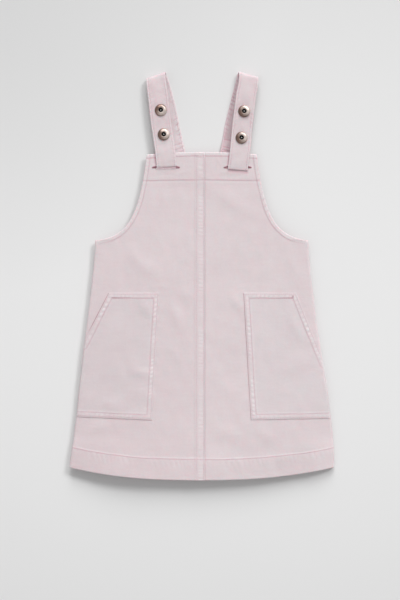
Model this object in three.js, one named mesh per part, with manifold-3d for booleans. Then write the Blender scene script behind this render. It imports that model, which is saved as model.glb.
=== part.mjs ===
// A child's pinafore dress in cotton twill, laid on its back on a table, front up.
// Millimetres, +Z up. +Y runs from the hem to the shoulder straps, and +X to the right of someone looking
// down at the front. The origin is under the middle of the dress, on the table.
import * as THREE from "three";
import { mergeVertices } from "three/addons/utils/BufferGeometryUtils.js";
import Module from "manifold-3d";

const wasm = await Module();
wasm.setup();

// Cloth
const CLOTH = 1.3; // wall of one layer of twill
const TURNED = 1.0; // what a turned-in hem or facing adds inside
const GAP = 0.3; // between two pieces at a seam, or one lying on the other

// Outline of the front, from the centre line outwards and from the hem's lowest point upwards.
// The left side seam lies a little further in at the hem than the right one.
const HEM_RISE = 17.4; // how far the hem's corners stand above its middle
const HEM_BLEND = 152; // the rows straighten over this height above the hem's corner
const HEM_CURVE = 2.4; // power of the hem's curve across the width
const HEM_LINE = 46; // top of the turned-up hem, at the side seam
const TOP_CROWN = 3.5; // how far the bib's top edge rises in the middle
const TOP_BLEND = 55;
const FACING_LINE = 420; // lower edge of the bib's facing
const UNDERARM = { half: 149.2, y: 335.7 };
const BIB_CORNER = { half: 77.2, y: 455.7 };
const ARMHOLE_PULL = [
  { half: 102.5, y: 339 },
  { half: 87, y: 372 },
];
const SIDE_SEAM = [
  { y: HEM_RISE, left: 185.6, right: 186.0 },
  { y: 45, left: 181.4, right: 185.2 },
  { y: 85, left: 176.4, right: 181.2 },
  { y: 130, left: 172.0, right: 175.6 },
  { y: 185, left: 165.8, right: 166.7 },
  { y: 213, left: 161.8, right: 162.4 },
  { y: 297, left: 151.9, right: 151.9 },
  { y: UNDERARM.y, left: UNDERARM.half, right: UNDERARM.half },
];

// Height of the front's outer face above the table, on the centre line and beside the side seams
const FRONT_HEIGHT = [
  { y: 0, middle: 15.4, side: 10.7 },
  { y: 46, middle: 14.6, side: 10.7 },
  { y: 62, middle: 14.3, side: 9.6 },
  { y: 160, middle: 12.9, side: 9.6 },
  { y: 336, middle: 10.4, side: 9.6 },
  { y: 410, middle: 8.9, side: 8.9 },
];
const CROWN_POWER = 3; // how flat the front stays before it falls to the sides
const SIDE_ROLL = { depth: 2.5, width: 14 }; // the rounded turn of the cloth at a side seam
const SIDE_COLUMNS = 16; // columns of points in each half of the front
const FRONT_ROWS = { skirt: 23, armhole: 8 };
const BACK_ROWS = { skirt: 11, armhole: 7 };
const COLUMN_EASE = 0.14; // draws the columns of points together towards a side seam
const SIDE_LIFT = { height: 4, width: 40 }; // the back curls up off the table at a side seam

// The largest folds of the front: soft ridges, by their middle, half length, half width and angle
const FOLDS = [
  { x: -80, y: 291, length: 46, width: 14, turn: -47, height: 1.3 },
  { x: -75, y: 238, length: 26, width: 10, turn: -63, height: 0.9 },
  { x: -26, y: 244, length: 22, width: 9, turn: -40, height: 0.7 },
  { x: 133, y: 292, length: 40, width: 11, turn: -66, height: 1.2 },
  { x: 46, y: 385, length: 42, width: 12, turn: -15, height: 0.7 },
  { x: 62, y: 238, length: 36, width: 12, turn: -76, height: 0.8 },
  { x: 28, y: 24, length: 44, width: 20, turn: 4, height: 1.2 },
  { x: 30, y: 68, length: 26, width: 9, turn: -20, height: 0.6 },
  { x: 42, y: 124, length: 30, width: 12, turn: -35, height: 0.8 },
  { x: -78, y: 157, length: 24, width: 10, turn: -50, height: 0.8 },
  { x: -140, y: 100, length: 34, width: 11, turn: -8, height: 0.9 },
  { x: 108, y: 66, length: 44, width: 13, turn: 9, height: 0.9 },
  { x: 136, y: 160, length: 28, width: 13, turn: 12, height: 0.7 },
];

// Centre-front seam: the left front is lapped over the right and stands proud of it
const SEAM = { x: 4.2, width: 13.4, height: 0.7, bevel: 1.1 };

// Buttonholes that the straps pass through
const SLIT = { out: 50.3, y: 437.6, halfLength: 18.6, halfHeight: 2.3, power: 8, points: 48 };

// The back is cut a little smaller than the front, so that it stays hidden
const BACK = { hemUp: 2, bibIn: 3, topDown: 5 };

// Patch pockets, from the centre line outwards
const POCKET = {
  bottom: { inner: 69.6, y: 85.7, outerUp: 3 },
  top: { inner: 59.4, outer: 130.4, y: 262 },
  mouthEnd: { left: 199, right: 177 }, // height where the slanted mouth meets the side seam
  seamInset: 1.2,
  seamPoints: 6,
};
const CUT_DEPTH = 20; // longer than the dress is high

// Straps: rows down the middle of the band, from its end on the inside of the back to its free end.
// out is the distance from the centre line, z the height of its middle, tilt the lie of its width in degrees.
const STRAP = { width: 28, thick: 1.8, stepsPerRow: 3 };
const STRAP_RISE = [
  { out: 31.0, y: 430, z: 2.5, tilt: 12 },
  { out: 34.5, y: 444, z: 2.5, tilt: 12 },
  { out: 38.9, y: 464, z: 2.5, tilt: 13 },
  { out: 41.4, y: 475, z: 1.1, tilt: 13 },
  { out: 43.4, y: 486, z: 1.1, tilt: 13 },
  { out: 47.8, y: 507, z: 1.1, tilt: 13 },
  { out: 52.8, y: 529, z: 1.1, tilt: 13 },
  { out: 58.0, y: 549, z: 1.2, tilt: 14 },
  { out: 61.2, y: 559, z: 1.2, tilt: 15 },
  { out: 63.0, y: 564.3, z: 1.5, tilt: 16 },
  { out: 63.6, y: 564.3, z: 6.0, tilt: 16 },
  { out: 63.8, y: 558, z: 6.6, tilt: 14 },
  { out: 63.0, y: 549, z: 7.4, tilt: 10 },
];
const STRAP_FALL = [
  { y: 539, z: 9.2, tilt: 8 },
  { y: 530, z: 10.1, tilt: 7 },
  { y: 518, z: 10.1, tilt: 7 },
  { y: 502, z: 10.1, tilt: 7 },
  { y: 486, z: 10.1, tilt: 7 },
  { y: 470, z: 10.1, tilt: 6 },
];
const CLOSE_LOOP = [
  { y: 456, z: 10.1, tilt: 4 },
  { y: 447, z: 10.1, tilt: 2 },
  { y: 441.5, z: 10.5, tilt: 1 },
  { y: 437, z: 10.5, tilt: 1 },
  { y: 437.4, z: 7.5, tilt: 1 },
  { y: 437.4, z: 4.6, tilt: 1 },
  { y: 441.5, z: 4.2, tilt: 2 },
  { y: 448, z: 4.6, tilt: 3 },
];
const SLACK_LOOP = [
  { y: 456, z: 10.2, tilt: 5 },
  { y: 447, z: 11.0, tilt: 4 },
  { y: 440, z: 12.3, tilt: 4 },
  { y: 434.5, z: 13.2, tilt: 4 },
  { y: 431.4, z: 11.8, tilt: 4 },
  { y: 434.6, z: 10.5, tilt: 3 },
  { y: 437.8, z: 10.9, tilt: 2 },
  { y: 438.2, z: 7.5, tilt: 2 },
  { y: 438.0, z: 4.6, tilt: 2 },
  { y: 442, z: 4.2, tilt: 3 },
  { y: 449, z: 4.6, tilt: 4 },
];
const STRAP_TAIL = [
  { y: 461, z: 4.6, tilt: 6 },
  { y: 472, z: 3.8, tilt: 7 },
  { y: 484, z: 3.8, tilt: 7 },
  { y: 508, z: 3.8, tilt: 7 },
  { y: 530, z: 3.8, tilt: 7 },
];

// Where each strap's two layers in front lie: a line through lineOut at LINE_START, leaning out by slope.
// topRise and topTilt take its turn at the shoulder up and round. Each also has its press studs, set in from
// the middle of the strap.
const LINE_START = 440;
const SHOULDER = { from: 520, to: 560 }; // heights between which topRise and topTilt come in
const SIDES = [
  {
    name: "left",
    sign: -1,
    backShift: 0,
    topRise: 2.8,
    topTilt: 3.5,
    lineOut: 49.6,
    slope: 0.121,
    loop: CLOSE_LOOP,
    snapIn: 1.7,
    snaps: [
      { name: "upper", y: 517.7 },
      { name: "lower", y: 483.7 },
    ],
  },
  {
    name: "right",
    sign: 1,
    backShift: 1.8,
    topRise: 4.1,
    topTilt: -1.5,
    lineOut: 51.6,
    slope: 0.098,
    loop: SLACK_LOOP,
    snapIn: -0.3,
    snaps: [
      { name: "upper", y: 516.2 },
      { name: "lower", y: 479.1 },
    ],
  },
];

// Press studs: ring caps on the strap's face, sockets behind it and studs on its free end
const STRAP_FACE = 10.1 + STRAP.thick / 2;
const STRAP_UNDER = 10.1 - STRAP.thick / 2;
const TAIL_FACE = 3.8 + STRAP.thick / 2;
const ROUND_STEPS = 18;
const CAP_PROFILE = [
  [0, 1.7],
  [1.0, 1.1],
  [2.8, 1.0],
  [3.2, 2.8],
  [5.2, 3.1],
  [7.2, 2.2],
  [8.5, 0.7],
  [8.3, 0],
  [0, 0],
];
const SOCKET_PROFILE = [
  [0, 0],
  [6.2, 0],
  [6.0, -0.9],
  [3.9, -2.5],
  [2.8, -2.5],
  [2.8, -0.9],
  [0, -0.9],
];
const STUD_PROFILE = [
  [0, 2.5],
  [2.4, 2.1],
  [1.9, 0.8],
  [5.6, 0.7],
  [5.8, 0],
  [0, 0],
];

const twill = new THREE.MeshStandardMaterial({ color: 0xdfd2d4, roughness: 0.95, metalness: 0 });
const nickel = new THREE.MeshStandardMaterial({ color: 0xc9beb6, roughness: 0.25, metalness: 1 });

const smooth = (from, to, value) => THREE.MathUtils.smoothstep(value, from, to);
const lerp = THREE.MathUtils.lerp;

// A column of a table read at y, on a smooth curve through the table's rows.
function readTable(rows, column, y) {
  const last = rows.length - 1;
  if (y <= rows[0].y) return rows[0][column];
  if (y >= rows[last].y) return rows[last][column];
  const i = rows.findIndex((row, k) => y < rows[k + 1].y);
  const slope = (k) => {
    const a = rows[Math.max(k - 1, 0)];
    const b = rows[Math.min(k + 1, last)];
    return (b[column] - a[column]) / (b.y - a.y);
  };
  const span = rows[i + 1].y - rows[i].y;
  const t = (y - rows[i].y) / span;
  const rise = rows[i + 1][column] - rows[i][column];
  const m0 = slope(i) * span;
  const m1 = slope(i + 1) * span;
  return rows[i][column] + m0 * t + (3 * rise - 2 * m0 - m1) * t * t + (m0 + m1 - 2 * rise) * t ** 3;
}

const armhole = new THREE.CubicBezierCurve(
  new THREE.Vector2(UNDERARM.half, UNDERARM.y),
  new THREE.Vector2(ARMHOLE_PULL[0].half, ARMHOLE_PULL[0].y),
  new THREE.Vector2(ARMHOLE_PULL[1].half, ARMHOLE_PULL[1].y),
  new THREE.Vector2(BIB_CORNER.half, BIB_CORNER.y),
);

// Half width of the dress at a side seam, which runs on upwards past the armhole.
function seamHalf(y, sign) {
  return readTable(SIDE_SEAM, sign < 0 ? "left" : "right", y);
}

// Half width of the front where its edge is at height y.
function halfWidth(y, sign) {
  if (y <= UNDERARM.y) return seamHalf(y, sign);
  let low = 0;
  let high = 1;
  for (let step = 0; step < 30; step++) {
    const t = (low + high) / 2;
    if (armhole.getPoint(t).y < y) low = t;
    else high = t;
  }
  return armhole.getPoint(low).x;
}

// Height on the centre line of the row that meets the outline at height edge.
function middleOfRow(edge) {
  const hem = HEM_RISE * (1 - smooth(HEM_RISE, HEM_RISE + HEM_BLEND, edge));
  const top = TOP_CROWN * smooth(BIB_CORNER.y - TOP_BLEND, BIB_CORNER.y, edge);
  return edge - hem + top;
}

// A point's height on the row that meets the outline at height edge.
function rowHeight(edge, x, half) {
  const middle = middleOfRow(edge);
  return middle + (edge - middle) * Math.abs(x / half) ** HEM_CURVE;
}

function foldHeight(x, y) {
  let sum = 0;
  for (const fold of FOLDS) {
    const turn = THREE.MathUtils.degToRad(fold.turn);
    const dx = x - fold.x;
    const dy = y - fold.y;
    const along = (dx * Math.cos(turn) + dy * Math.sin(turn)) / fold.length;
    const across = (dy * Math.cos(turn) - dx * Math.sin(turn)) / fold.width;
    sum += fold.height * Math.exp(-along * along - across * across);
  }
  return sum;
}

// Height of the front's outer face, without what is sewn on it.
function frontHeight(x, y) {
  const half = seamHalf(y, x);
  const middle = readTable(FRONT_HEIGHT, "middle", y);
  const side = readTable(FRONT_HEIGHT, "side", y);
  const out = Math.min(Math.abs(x) / half, 1);
  const inside = 1 - Math.min((half - Math.abs(x)) / SIDE_ROLL.width, 1);
  const crown = side + (middle - side) * (1 - out ** CROWN_POWER);
  return crown - SIDE_ROLL.depth * inside ** 2 + foldHeight(x, y) * Math.min(1, 4 * (1 - out));
}

// Height of the back's underside.
function backHeight(x, y) {
  const half = seamHalf(y, x);
  const inside = 1 - Math.min((half - Math.abs(x)) / SIDE_LIFT.width, 1);
  return SIDE_LIFT.height * inside ** 2;
}

// A closed wall between an outer and an inner grid of points, given as arrays of rows.
function wallGeometry(outer, inner) {
  const rows = outer.length;
  const columns = outer[0].length;
  const positions = [];
  for (const p of [...outer, ...inner].flat()) positions.push(p.x, p.y, p.z);
  const at = (side, row, column) => (side * rows + row) * columns + column;
  const index = [];
  const quad = (a, b, c, d) => index.push(a, b, c, a, c, d);
  for (let r = 0; r + 1 < rows; r++) {
    for (let c = 0; c + 1 < columns; c++) {
      quad(at(0, r, c), at(0, r, c + 1), at(0, r + 1, c + 1), at(0, r + 1, c));
      quad(at(1, r, c), at(1, r + 1, c), at(1, r + 1, c + 1), at(1, r, c + 1));
    }
  }
  for (let c = 0; c + 1 < columns; c++) {
    quad(at(0, 0, c), at(1, 0, c), at(1, 0, c + 1), at(0, 0, c + 1));
    quad(at(0, rows - 1, c), at(0, rows - 1, c + 1), at(1, rows - 1, c + 1), at(1, rows - 1, c));
  }
  for (let r = 0; r + 1 < rows; r++) {
    quad(at(0, r, 0), at(0, r + 1, 0), at(1, r + 1, 0), at(1, r, 0));
    quad(at(0, r, columns - 1), at(1, r, columns - 1), at(1, r + 1, columns - 1), at(0, r + 1, columns - 1));
  }
  const geometry = new THREE.BufferGeometry();
  geometry.setAttribute("position", new THREE.Float32BufferAttribute(positions, 3));
  geometry.setIndex(index);
  return geometry;
}

// Turns a grid over, so that a mirrored wall still faces out.
const mirrored = (grid) => grid.map((row) => [...row].reverse());

// Heights on the outline where rows of points lie, from the hem through the armhole to the bib's top.
function outlineRows(skirtRows, armholeRows) {
  const rows = [];
  for (let i = 0; i < skirtRows; i++) rows.push(lerp(HEM_RISE, UNDERARM.y, i / skirtRows));
  for (let i = 0; i <= armholeRows; i++) rows.push(armhole.getPoint(i / armholeRows).y);
  return rows;
}

// The same, with a pair of rows where a turned-in layer begins.
function frontRows() {
  const rows = outlineRows(FRONT_ROWS.skirt, FRONT_ROWS.armhole);
  const step = 0.7;
  const edges = [HEM_LINE, FACING_LINE].flatMap((line) => [line - step, line + step]);
  const clear = rows.filter((row) => edges.every((edge) => Math.abs(edge - row) > 4 * step));
  return [...clear, ...edges].sort((a, b) => a - b);
}

// Wall thickness at a row: one layer, and the turned-in layer at the hem and behind the bib's top.
function rowThickness(edge) {
  const turnedIn = edge < HEM_LINE || edge > FACING_LINE;
  return CLOTH + (turnedIn ? TURNED : 0);
}

// The two faces of a front panel, between its edge at the centre seam and the outline on its side.
function frontFaces(sign, seamColumns, sideColumns) {
  const outer = [];
  const inner = [];
  for (const edge of frontRows()) {
    const half = halfWidth(edge, sign);
    const start = seamColumns[seamColumns.length - 1].x;
    const xs = seamColumns.map((column) => ({ x: column.x, raise: column.raise }));
    for (let i = 1; i <= sideColumns; i++) {
      const t = i / sideColumns;
      const eased = t + COLUMN_EASE * Math.sin(Math.PI * t);
      xs.push({ x: lerp(start, sign * half, eased), raise: 0 });
    }
    const face = xs.map(({ x, raise }) => {
      const y = rowHeight(edge, x, half);
      return new THREE.Vector3(x, y, frontHeight(x, y) + raise);
    });
    outer.push(face);
    inner.push(face.map((p, i) => new THREE.Vector3(p.x, p.y, p.z - xs[i].raise - rowThickness(edge))));
  }
  return sign > 0 ? { outer, inner } : { outer: mirrored(outer), inner: mirrored(inner) };
}

function backPanel() {
  const columns = 18;
  const outer = [];
  const inner = [];
  for (const edge of outlineRows(BACK_ROWS.skirt, BACK_ROWS.armhole)) {
    const up = BACK.hemUp * (1 - smooth(HEM_RISE, HEM_RISE + HEM_BLEND, edge));
    const atBib = smooth(UNDERARM.y - 10, UNDERARM.y + 25, edge);
    const left = halfWidth(edge, -1) - BACK.bibIn * atBib;
    const right = halfWidth(edge, 1) - BACK.bibIn * atBib;
    const down = BACK.topDown * smooth(FACING_LINE, BIB_CORNER.y, edge);
    const row = [];
    for (let c = 0; c <= columns; c++) {
      const out = Math.sin((Math.PI / 2) * (2 * (c / columns) - 1));
      const half = out < 0 ? left : right;
      const x = half * out;
      const y = rowHeight(edge, x, half) + up - down;
      row.push(new THREE.Vector3(x, y, backHeight(x, y)));
    }
    outer.push(row.map((p) => new THREE.Vector3(p.x, p.y, p.z + CLOTH)));
    inner.push(row);
  }
  return wallGeometry(outer, inner);
}

// A patch pocket: a layer lying on the outer face of the front, cut along the pocket's outline.
function pocket(sign, front) {
  const raised = (height) => front.map((row) => row.map((p) => new THREE.Vector3(p.x, p.y, p.z + height)));
  const layer = wallGeometry(raised(GAP + CLOTH), raised(GAP));
  const { bottom, top, seamInset, seamPoints } = POCKET;
  const mouthEnd = sign < 0 ? POCKET.mouthEnd.left : POCKET.mouthEnd.right;
  const outline = [
    [bottom.inner, bottom.y],
    [top.inner, top.y],
    [top.outer, top.y],
  ];
  for (let i = 0; i <= seamPoints; i++) {
    const y = lerp(mouthEnd, bottom.y + bottom.outerUp, i / seamPoints);
    outline.push([halfWidth(y, sign) - seamInset, y]);
  }
  const shape = new THREE.Shape(outline.map(([x, y]) => new THREE.Vector2(sign * x, y)));
  const cutter = new THREE.ExtrudeGeometry(shape, { depth: CUT_DEPTH, bevelEnabled: false });
  return fromManifold(toManifold(layer).intersect(toManifold(cutter)));
}

// A uniform cubic B-spline through a list of rows, which starts and ends on its first and last rows.
function splineRows(rows, stepsPerRow) {
  const keys = Object.keys(rows[0]);
  const beyond = (a, b) => Object.fromEntries(keys.map((key) => [key, 2 * a[key] - b[key]]));
  const last = rows.length - 1;
  const control = [beyond(rows[0], rows[1]), ...rows, beyond(rows[last], rows[last - 1])];
  const samples = [];
  for (let i = 0; i < last; i++) {
    const steps = stepsPerRow + (i === last - 1 ? 1 : 0);
    for (let step = 0; step < steps; step++) {
      const t = step / stepsPerRow;
      const weights = [(1 - t) ** 3, 3 * t ** 3 - 6 * t * t + 4, -3 * t ** 3 + 3 * t * t + 3 * t + 1, t ** 3];
      const blend = (key) => weights.reduce((sum, w, k) => sum + (w / 6) * control[i + k][key], 0);
      samples.push(Object.fromEntries(keys.map((key) => [key, blend(key)])));
    }
  }
  return samples;
}

// A row of the strap, taken up and round as far as its side asks for near the shoulder.
function atShoulder(side, row) {
  const share = smooth(SHOULDER.from, SHOULDER.to, row.y);
  return { ...row, y: row.y + share * side.topRise, tilt: row.tilt + share * side.topTilt };
}

const lineOut = (side, y) => side.lineOut + (y - LINE_START) * side.slope;

function strap(side) {
  const backRows = STRAP_RISE.map((row) => ({ ...row, out: row.out + side.backShift }));
  const frontRows = [...STRAP_FALL, ...side.loop, ...STRAP_TAIL];
  const inFront = frontRows.map((row) => ({ ...row, out: lineOut(side, row.y) }));
  const rows = [...backRows, ...inFront].map((row) => atShoulder(side, row));
  const path = splineRows(rows, STRAP.stepsPerRow);
  const points = path.map((row) => new THREE.Vector3(side.sign * row.out, row.y, row.z));
  const outer = [];
  const inner = [];
  points.forEach((p, i) => {
    const ahead = points[Math.min(i + 1, points.length - 1)];
    const behind = points[Math.max(i - 1, 0)];
    const tangent = ahead.clone().sub(behind).normalize();
    const tilt = THREE.MathUtils.degToRad(path[i].tilt);
    const across = new THREE.Vector3(-side.sign * Math.cos(tilt), Math.sin(tilt), 0);
    const normal = tangent.clone().cross(across).normalize();
    const corner = (w, n) =>
      p.clone().addScaledVector(across, (w * STRAP.width) / 2).addScaledVector(normal, (n * STRAP.thick) / 2);
    outer.push([corner(1, 1), corner(0, 1), corner(-1, 1)]);
    inner.push([corner(1, -1), corner(0, -1), corner(-1, -1)]);
  });
  return wallGeometry(outer, inner);
}

// The opening of a buttonhole, as a solid that runs through the wall.
function slitGeometry(sign) {
  const outline = [];
  for (let i = 0; i < SLIT.points; i++) {
    const angle = (2 * Math.PI * i) / SLIT.points;
    const x = SLIT.halfLength * Math.cos(angle);
    const height = SLIT.halfHeight * (1 - Math.abs(x / SLIT.halfLength) ** SLIT.power);
    outline.push(new THREE.Vector2(x, Math.sign(Math.sin(angle)) * height));
  }
  const shape = new THREE.Shape(outline);
  const geometry = new THREE.ExtrudeGeometry(shape, { depth: CUT_DEPTH, bevelEnabled: false });
  return geometry.translate(sign * SLIT.out, SLIT.y, 0);
}

function toManifold(geometry) {
  const bare = geometry.clone();
  bare.deleteAttribute("normal");
  bare.deleteAttribute("uv");
  const merged = mergeVertices(bare, 1e-4);
  return new wasm.Manifold(
    new wasm.Mesh({
      numProp: 3,
      vertProperties: new Float32Array(merged.attributes.position.array),
      triVerts: new Uint32Array(merged.index.array),
    }),
  );
}

function fromManifold(solid) {
  const mesh = solid.getMesh();
  const geometry = new THREE.BufferGeometry();
  geometry.setAttribute("position", new THREE.BufferAttribute(mesh.vertProperties, 3));
  geometry.setIndex(new THREE.BufferAttribute(mesh.triVerts, 1));
  return geometry;
}

function withSlit(panel, sign) {
  return fromManifold(toManifold(panel).subtract(toManifold(slitGeometry(sign))));
}

function roundPiece(profile, material, name) {
  const points = profile.map(([radius, height]) => new THREE.Vector2(radius, height)).reverse();
  const mesh = new THREE.Mesh(new THREE.LatheGeometry(points, ROUND_STEPS), material);
  mesh.name = name;
  mesh.rotation.x = Math.PI / 2;
  return mesh;
}

function snapPieces(side, snap) {
  const y = snap.y;
  const x = side.sign * (lineOut(side, y) - side.snapIn);
  const name = `${side.name}_${snap.name}`;
  const cap = roundPiece(CAP_PROFILE, nickel, `snap_cap_${name}`);
  const socket = roundPiece(SOCKET_PROFILE, nickel, `snap_socket_${name}`);
  const stud = roundPiece(STUD_PROFILE, nickel, `snap_stud_${name}`);
  cap.position.set(x, y, STRAP_FACE + GAP);
  socket.position.set(x, y, STRAP_UNDER - GAP);
  stud.position.set(x, y, TAIL_FACE + GAP);
  return [cap, socket, stud];
}

function clothMesh(name, geometry) {
  geometry.computeVertexNormals();
  const mesh = new THREE.Mesh(geometry, twill);
  mesh.name = name;
  return mesh;
}

const leftSeamColumns = [
  { x: SEAM.x - GAP / 2, raise: SEAM.height * 0.6 },
  { x: SEAM.x - SEAM.bevel, raise: SEAM.height },
  { x: SEAM.x - SEAM.width + SEAM.bevel, raise: SEAM.height },
  { x: SEAM.x - SEAM.width, raise: 0 },
];
const rightSeamColumns = [{ x: SEAM.x + GAP / 2, raise: 0 }];

const fronts = {
  left: frontFaces(-1, leftSeamColumns, SIDE_COLUMNS),
  right: frontFaces(1, rightSeamColumns, SIDE_COLUMNS),
};

const dress = new THREE.Group();
dress.add(clothMesh("back", backPanel()));
for (const side of SIDES) {
  const front = fronts[side.name];
  dress.add(clothMesh(`front_${side.name}`, withSlit(wallGeometry(front.outer, front.inner), side.sign)));
  dress.add(clothMesh(`pocket_${side.name}`, pocket(side.sign, front.outer)));
  dress.add(clothMesh(`strap_${side.name}`, strap(side)));
  for (const snap of side.snaps) dress.add(...snapPieces(side, snap));
}

// The frame's origin is under the middle of the whole dress.
const extent = new THREE.Box3().setFromObject(dress);
const centre = extent.getCenter(new THREE.Vector3());
dress.position.set(-centre.x, -centre.y, -extent.min.z);

const laid = new THREE.Group();
laid.add(dress);
export default laid;
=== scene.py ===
"""A child's pinafore dress in pale washed cotton twill, laid on its back on a table and seen from straight above.

Lengths are in millimetres in the tables and functions below, and become metres where a mesh is made. x is
measured from the middle of the front, y from the lowest point of the hem, z from the table.
"""
import math

import bpy
import numpy as np
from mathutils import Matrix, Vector
from mathutils.bvhtree import BVHTree


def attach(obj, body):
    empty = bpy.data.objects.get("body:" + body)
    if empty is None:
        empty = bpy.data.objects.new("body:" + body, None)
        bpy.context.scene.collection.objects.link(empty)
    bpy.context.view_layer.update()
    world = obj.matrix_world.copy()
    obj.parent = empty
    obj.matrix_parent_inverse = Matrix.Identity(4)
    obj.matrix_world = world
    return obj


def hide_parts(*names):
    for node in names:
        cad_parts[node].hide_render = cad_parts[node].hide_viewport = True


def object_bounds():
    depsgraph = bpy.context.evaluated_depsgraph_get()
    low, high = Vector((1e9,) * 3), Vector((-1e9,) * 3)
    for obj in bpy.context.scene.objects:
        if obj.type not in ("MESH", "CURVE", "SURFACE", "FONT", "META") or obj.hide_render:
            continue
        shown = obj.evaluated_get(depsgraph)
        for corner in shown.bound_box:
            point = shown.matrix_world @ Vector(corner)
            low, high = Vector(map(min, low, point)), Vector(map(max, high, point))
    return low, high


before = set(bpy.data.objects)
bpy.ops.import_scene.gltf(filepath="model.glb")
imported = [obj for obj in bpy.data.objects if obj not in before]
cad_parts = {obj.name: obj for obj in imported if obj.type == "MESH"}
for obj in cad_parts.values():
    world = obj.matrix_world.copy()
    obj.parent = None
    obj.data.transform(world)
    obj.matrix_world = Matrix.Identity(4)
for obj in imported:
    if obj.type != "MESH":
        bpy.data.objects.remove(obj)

CAD_LOW, CAD_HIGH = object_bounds()
MM = 0.001

# Cloth
CLOTH = 1.3
TURNED = 1.0  # what a turned-in hem or facing adds
GAP = 0.3

# Outline of the front, as in the solids
HEM_RISE = 17.4
HEM_BLEND = 152.0
HEM_CURVE = 2.4
TOP_CROWN = 3.5
TOP_BLEND = 55.0
UNDERARM = (149.2, 335.7)
BIB_CORNER = (77.2, 455.7)
ARMHOLE_PULL = ((102.5, 339.0), (87.0, 372.0))


def columns(names, *rows):
    """A table with named columns: a dictionary of arrays."""
    return {name: np.array([row[i] for row in rows], float) for i, name in enumerate(names.split())}


SIDE_SEAM = columns(
    "y left right",
    (17.4, 185.6, 186.0),
    (45, 181.4, 185.2),
    (85, 176.4, 181.2),
    (130, 172.0, 175.6),
    (185, 165.8, 166.7),
    (213, 161.8, 162.4),
    (297, 151.9, 151.9),
    (335.7, 149.2, 149.2),
)
FRONT_HEIGHT = columns(
    "y middle side",
    (0, 15.4, 10.7),
    (46, 14.6, 10.7),
    (62, 14.3, 9.6),
    (160, 12.9, 9.6),
    (336, 10.4, 9.6),
    (410, 8.9, 8.9),
)
CROWN_POWER = 3
SIDE_ROLL = {"depth": 0.5, "width": 14.0}
SIDE_TURN = {"depth": 0.9, "width": 3.2}
SIDE_LIFT = {"height": 5.6, "width": 40.0}

# Soft ridges of the front: where, half length, half width, angle in degrees, height (below zero: a trough)
FOLDS = columns(
    "x y length width turn height",
    (-85, 303, 24, 10, -50, 1),
    (-36, 229, 28, 8, -68, 0.91),
    (-26, 262, 18, 9, -40, 0.52),
    (-79, 240, 15, 8, -58, 0.78),
    (133, 292, 36, 10, -66, 0.91),
    (38, 393, 38, 12, -29, 0.8),
    (45, 252, 16, 7, -62, 0.78),
    (62, 236, 26, 9, -76, 0.65),
    (133, 211, 22, 7, -60, 0.78),
    (-11, 366, 46, 5, 88, -0.35),
    (-83, 150, 15, 7, -14, 0.78),
    (-78, 120, 20, 9, -30, 0.52),
    (39, 67, 30, 11, -27, 0.85),
    (88, 63, 18, 9, -25, 0.7),
    (42, 124, 24, 11, -35, 0.6),
    (28, 22, 30, 16, 4, 0.91),
    (116, 30, 14, 8, 8, 0.78),
    (-146, 74, 16, 8, 12, 0.78),
    (-140, 108, 30, 9, -8, 0.65),
    (136, 160, 28, 12, 12, 0.65),
    (18.6, 433, 8, 1.8, 82, -0.3),
    (31, 431, 9, 2.2, 14, 0.3),
    (24, 446, 8, 2.0, -60, 0.25),
    (-27, 430, 9, 2.4, 12, 0.25),
    (-24, 443, 7, 1.8, 70, -0.25),
    (72, 441, 8, 2.0, -75, -0.25),
    (48, 426, 13, 2.2, 4, -0.2),
    (-50, 428, 14, 2.4, -3, -0.2),
    (-105, -8, 62, 44, -4, 2.6),
    (132, -8, 62, 44, 5, -3.4),
)
SEAM = {"edge": 4.2, "width": 13.4, "height": 0.7, "rows": (-7.1, 2.3)}
SLIT = {"row": 436.0, "y": 437.6, "out": 50.3, "half_length": 18.6, "down": 0.45, "up": 3.3, "power": 2.2, "reach": 13.0,
        "lip": 1.9}
HEM_ROW = 45.0
FACING_ROW = 419.2
TOP_ROW = 450.2
BAND = 5.3  # width of the turned edge of bib and armhole

# The pockets, left (-1) and right (1): x of the inner edge's ends, heights, and the slanted mouth
POCKETS = {
    -1: {"inner_low": 69.8, "inner_high": 59.4, "low": 84.0, "high": 262.0, "outer_up": 4.4, "top_out": 130.4, "end": 199.0},
    1: {"inner_low": 68.6, "inner_high": 58.4, "low": 84.4, "high": 262.0, "outer_up": 1.8, "top_out": 132.0, "end": 177.0},
}
POCKET_ROWS = (1.7, 7.4)  # two rows of stitching along each sewn or turned edge
SEAM_INSET = 1.2

# Straps, from the end on the inside of the back to the free end: distance from the centre line, height of the
# middle of the band, and the lie of its width in degrees
STRAP = {"width": 28.0, "thick": 1.3}
STRAP_ROW = 2.8
SHOULDER = (520, 560)  # between these heights a side's top_rise and top_tilt come in
STRAP_SETTLE = ((1.1, 2.5, 3.8, 10.1), (-0.25, -0.1, 0.2, 0.3))  # a thinner band's middle, by its height
STRAP_RISE = columns(
    "out y z tilt",
    (31.0, 430, 2.5, 12),
    (34.5, 444, 2.5, 12),
    (38.9, 464, 2.5, 13),
    (41.4, 475, 1.1, 13),
    (43.4, 486, 1.1, 13),
    (47.8, 507, 1.1, 13),
    (52.8, 529, 1.1, 13),
    (58.0, 549, 1.2, 14),
    (61.2, 559, 1.2, 15),
    (63.0, 564.3, 1.5, 16),
    (63.6, 564.3, 7.0, 16),
    (63.8, 559, 8.2, 14),
    (63.0, 549, 9.0, 10),
)
STRAP_FALL = columns(
    "y z tilt",
    (539, 9.7, 8),
    (530, 10.1, 7),
    (518, 10.1, 7),
    (502, 10.1, 7),
    (486, 10.1, 7),
    (470, 10.1, 6),
)
CLOSE_LOOP = columns(
    "y z tilt",
    (456, 10.1, 5),
    (447, 9.8, 5),
    (441.5, 9.65, 4),
    (437.7, 9.2, 3),
    (438.0, 7.5, 3),
    (438.0, 4.6, 2),
    (441.5, 4.2, 2),
    (448, 4.6, 3),
)
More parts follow.
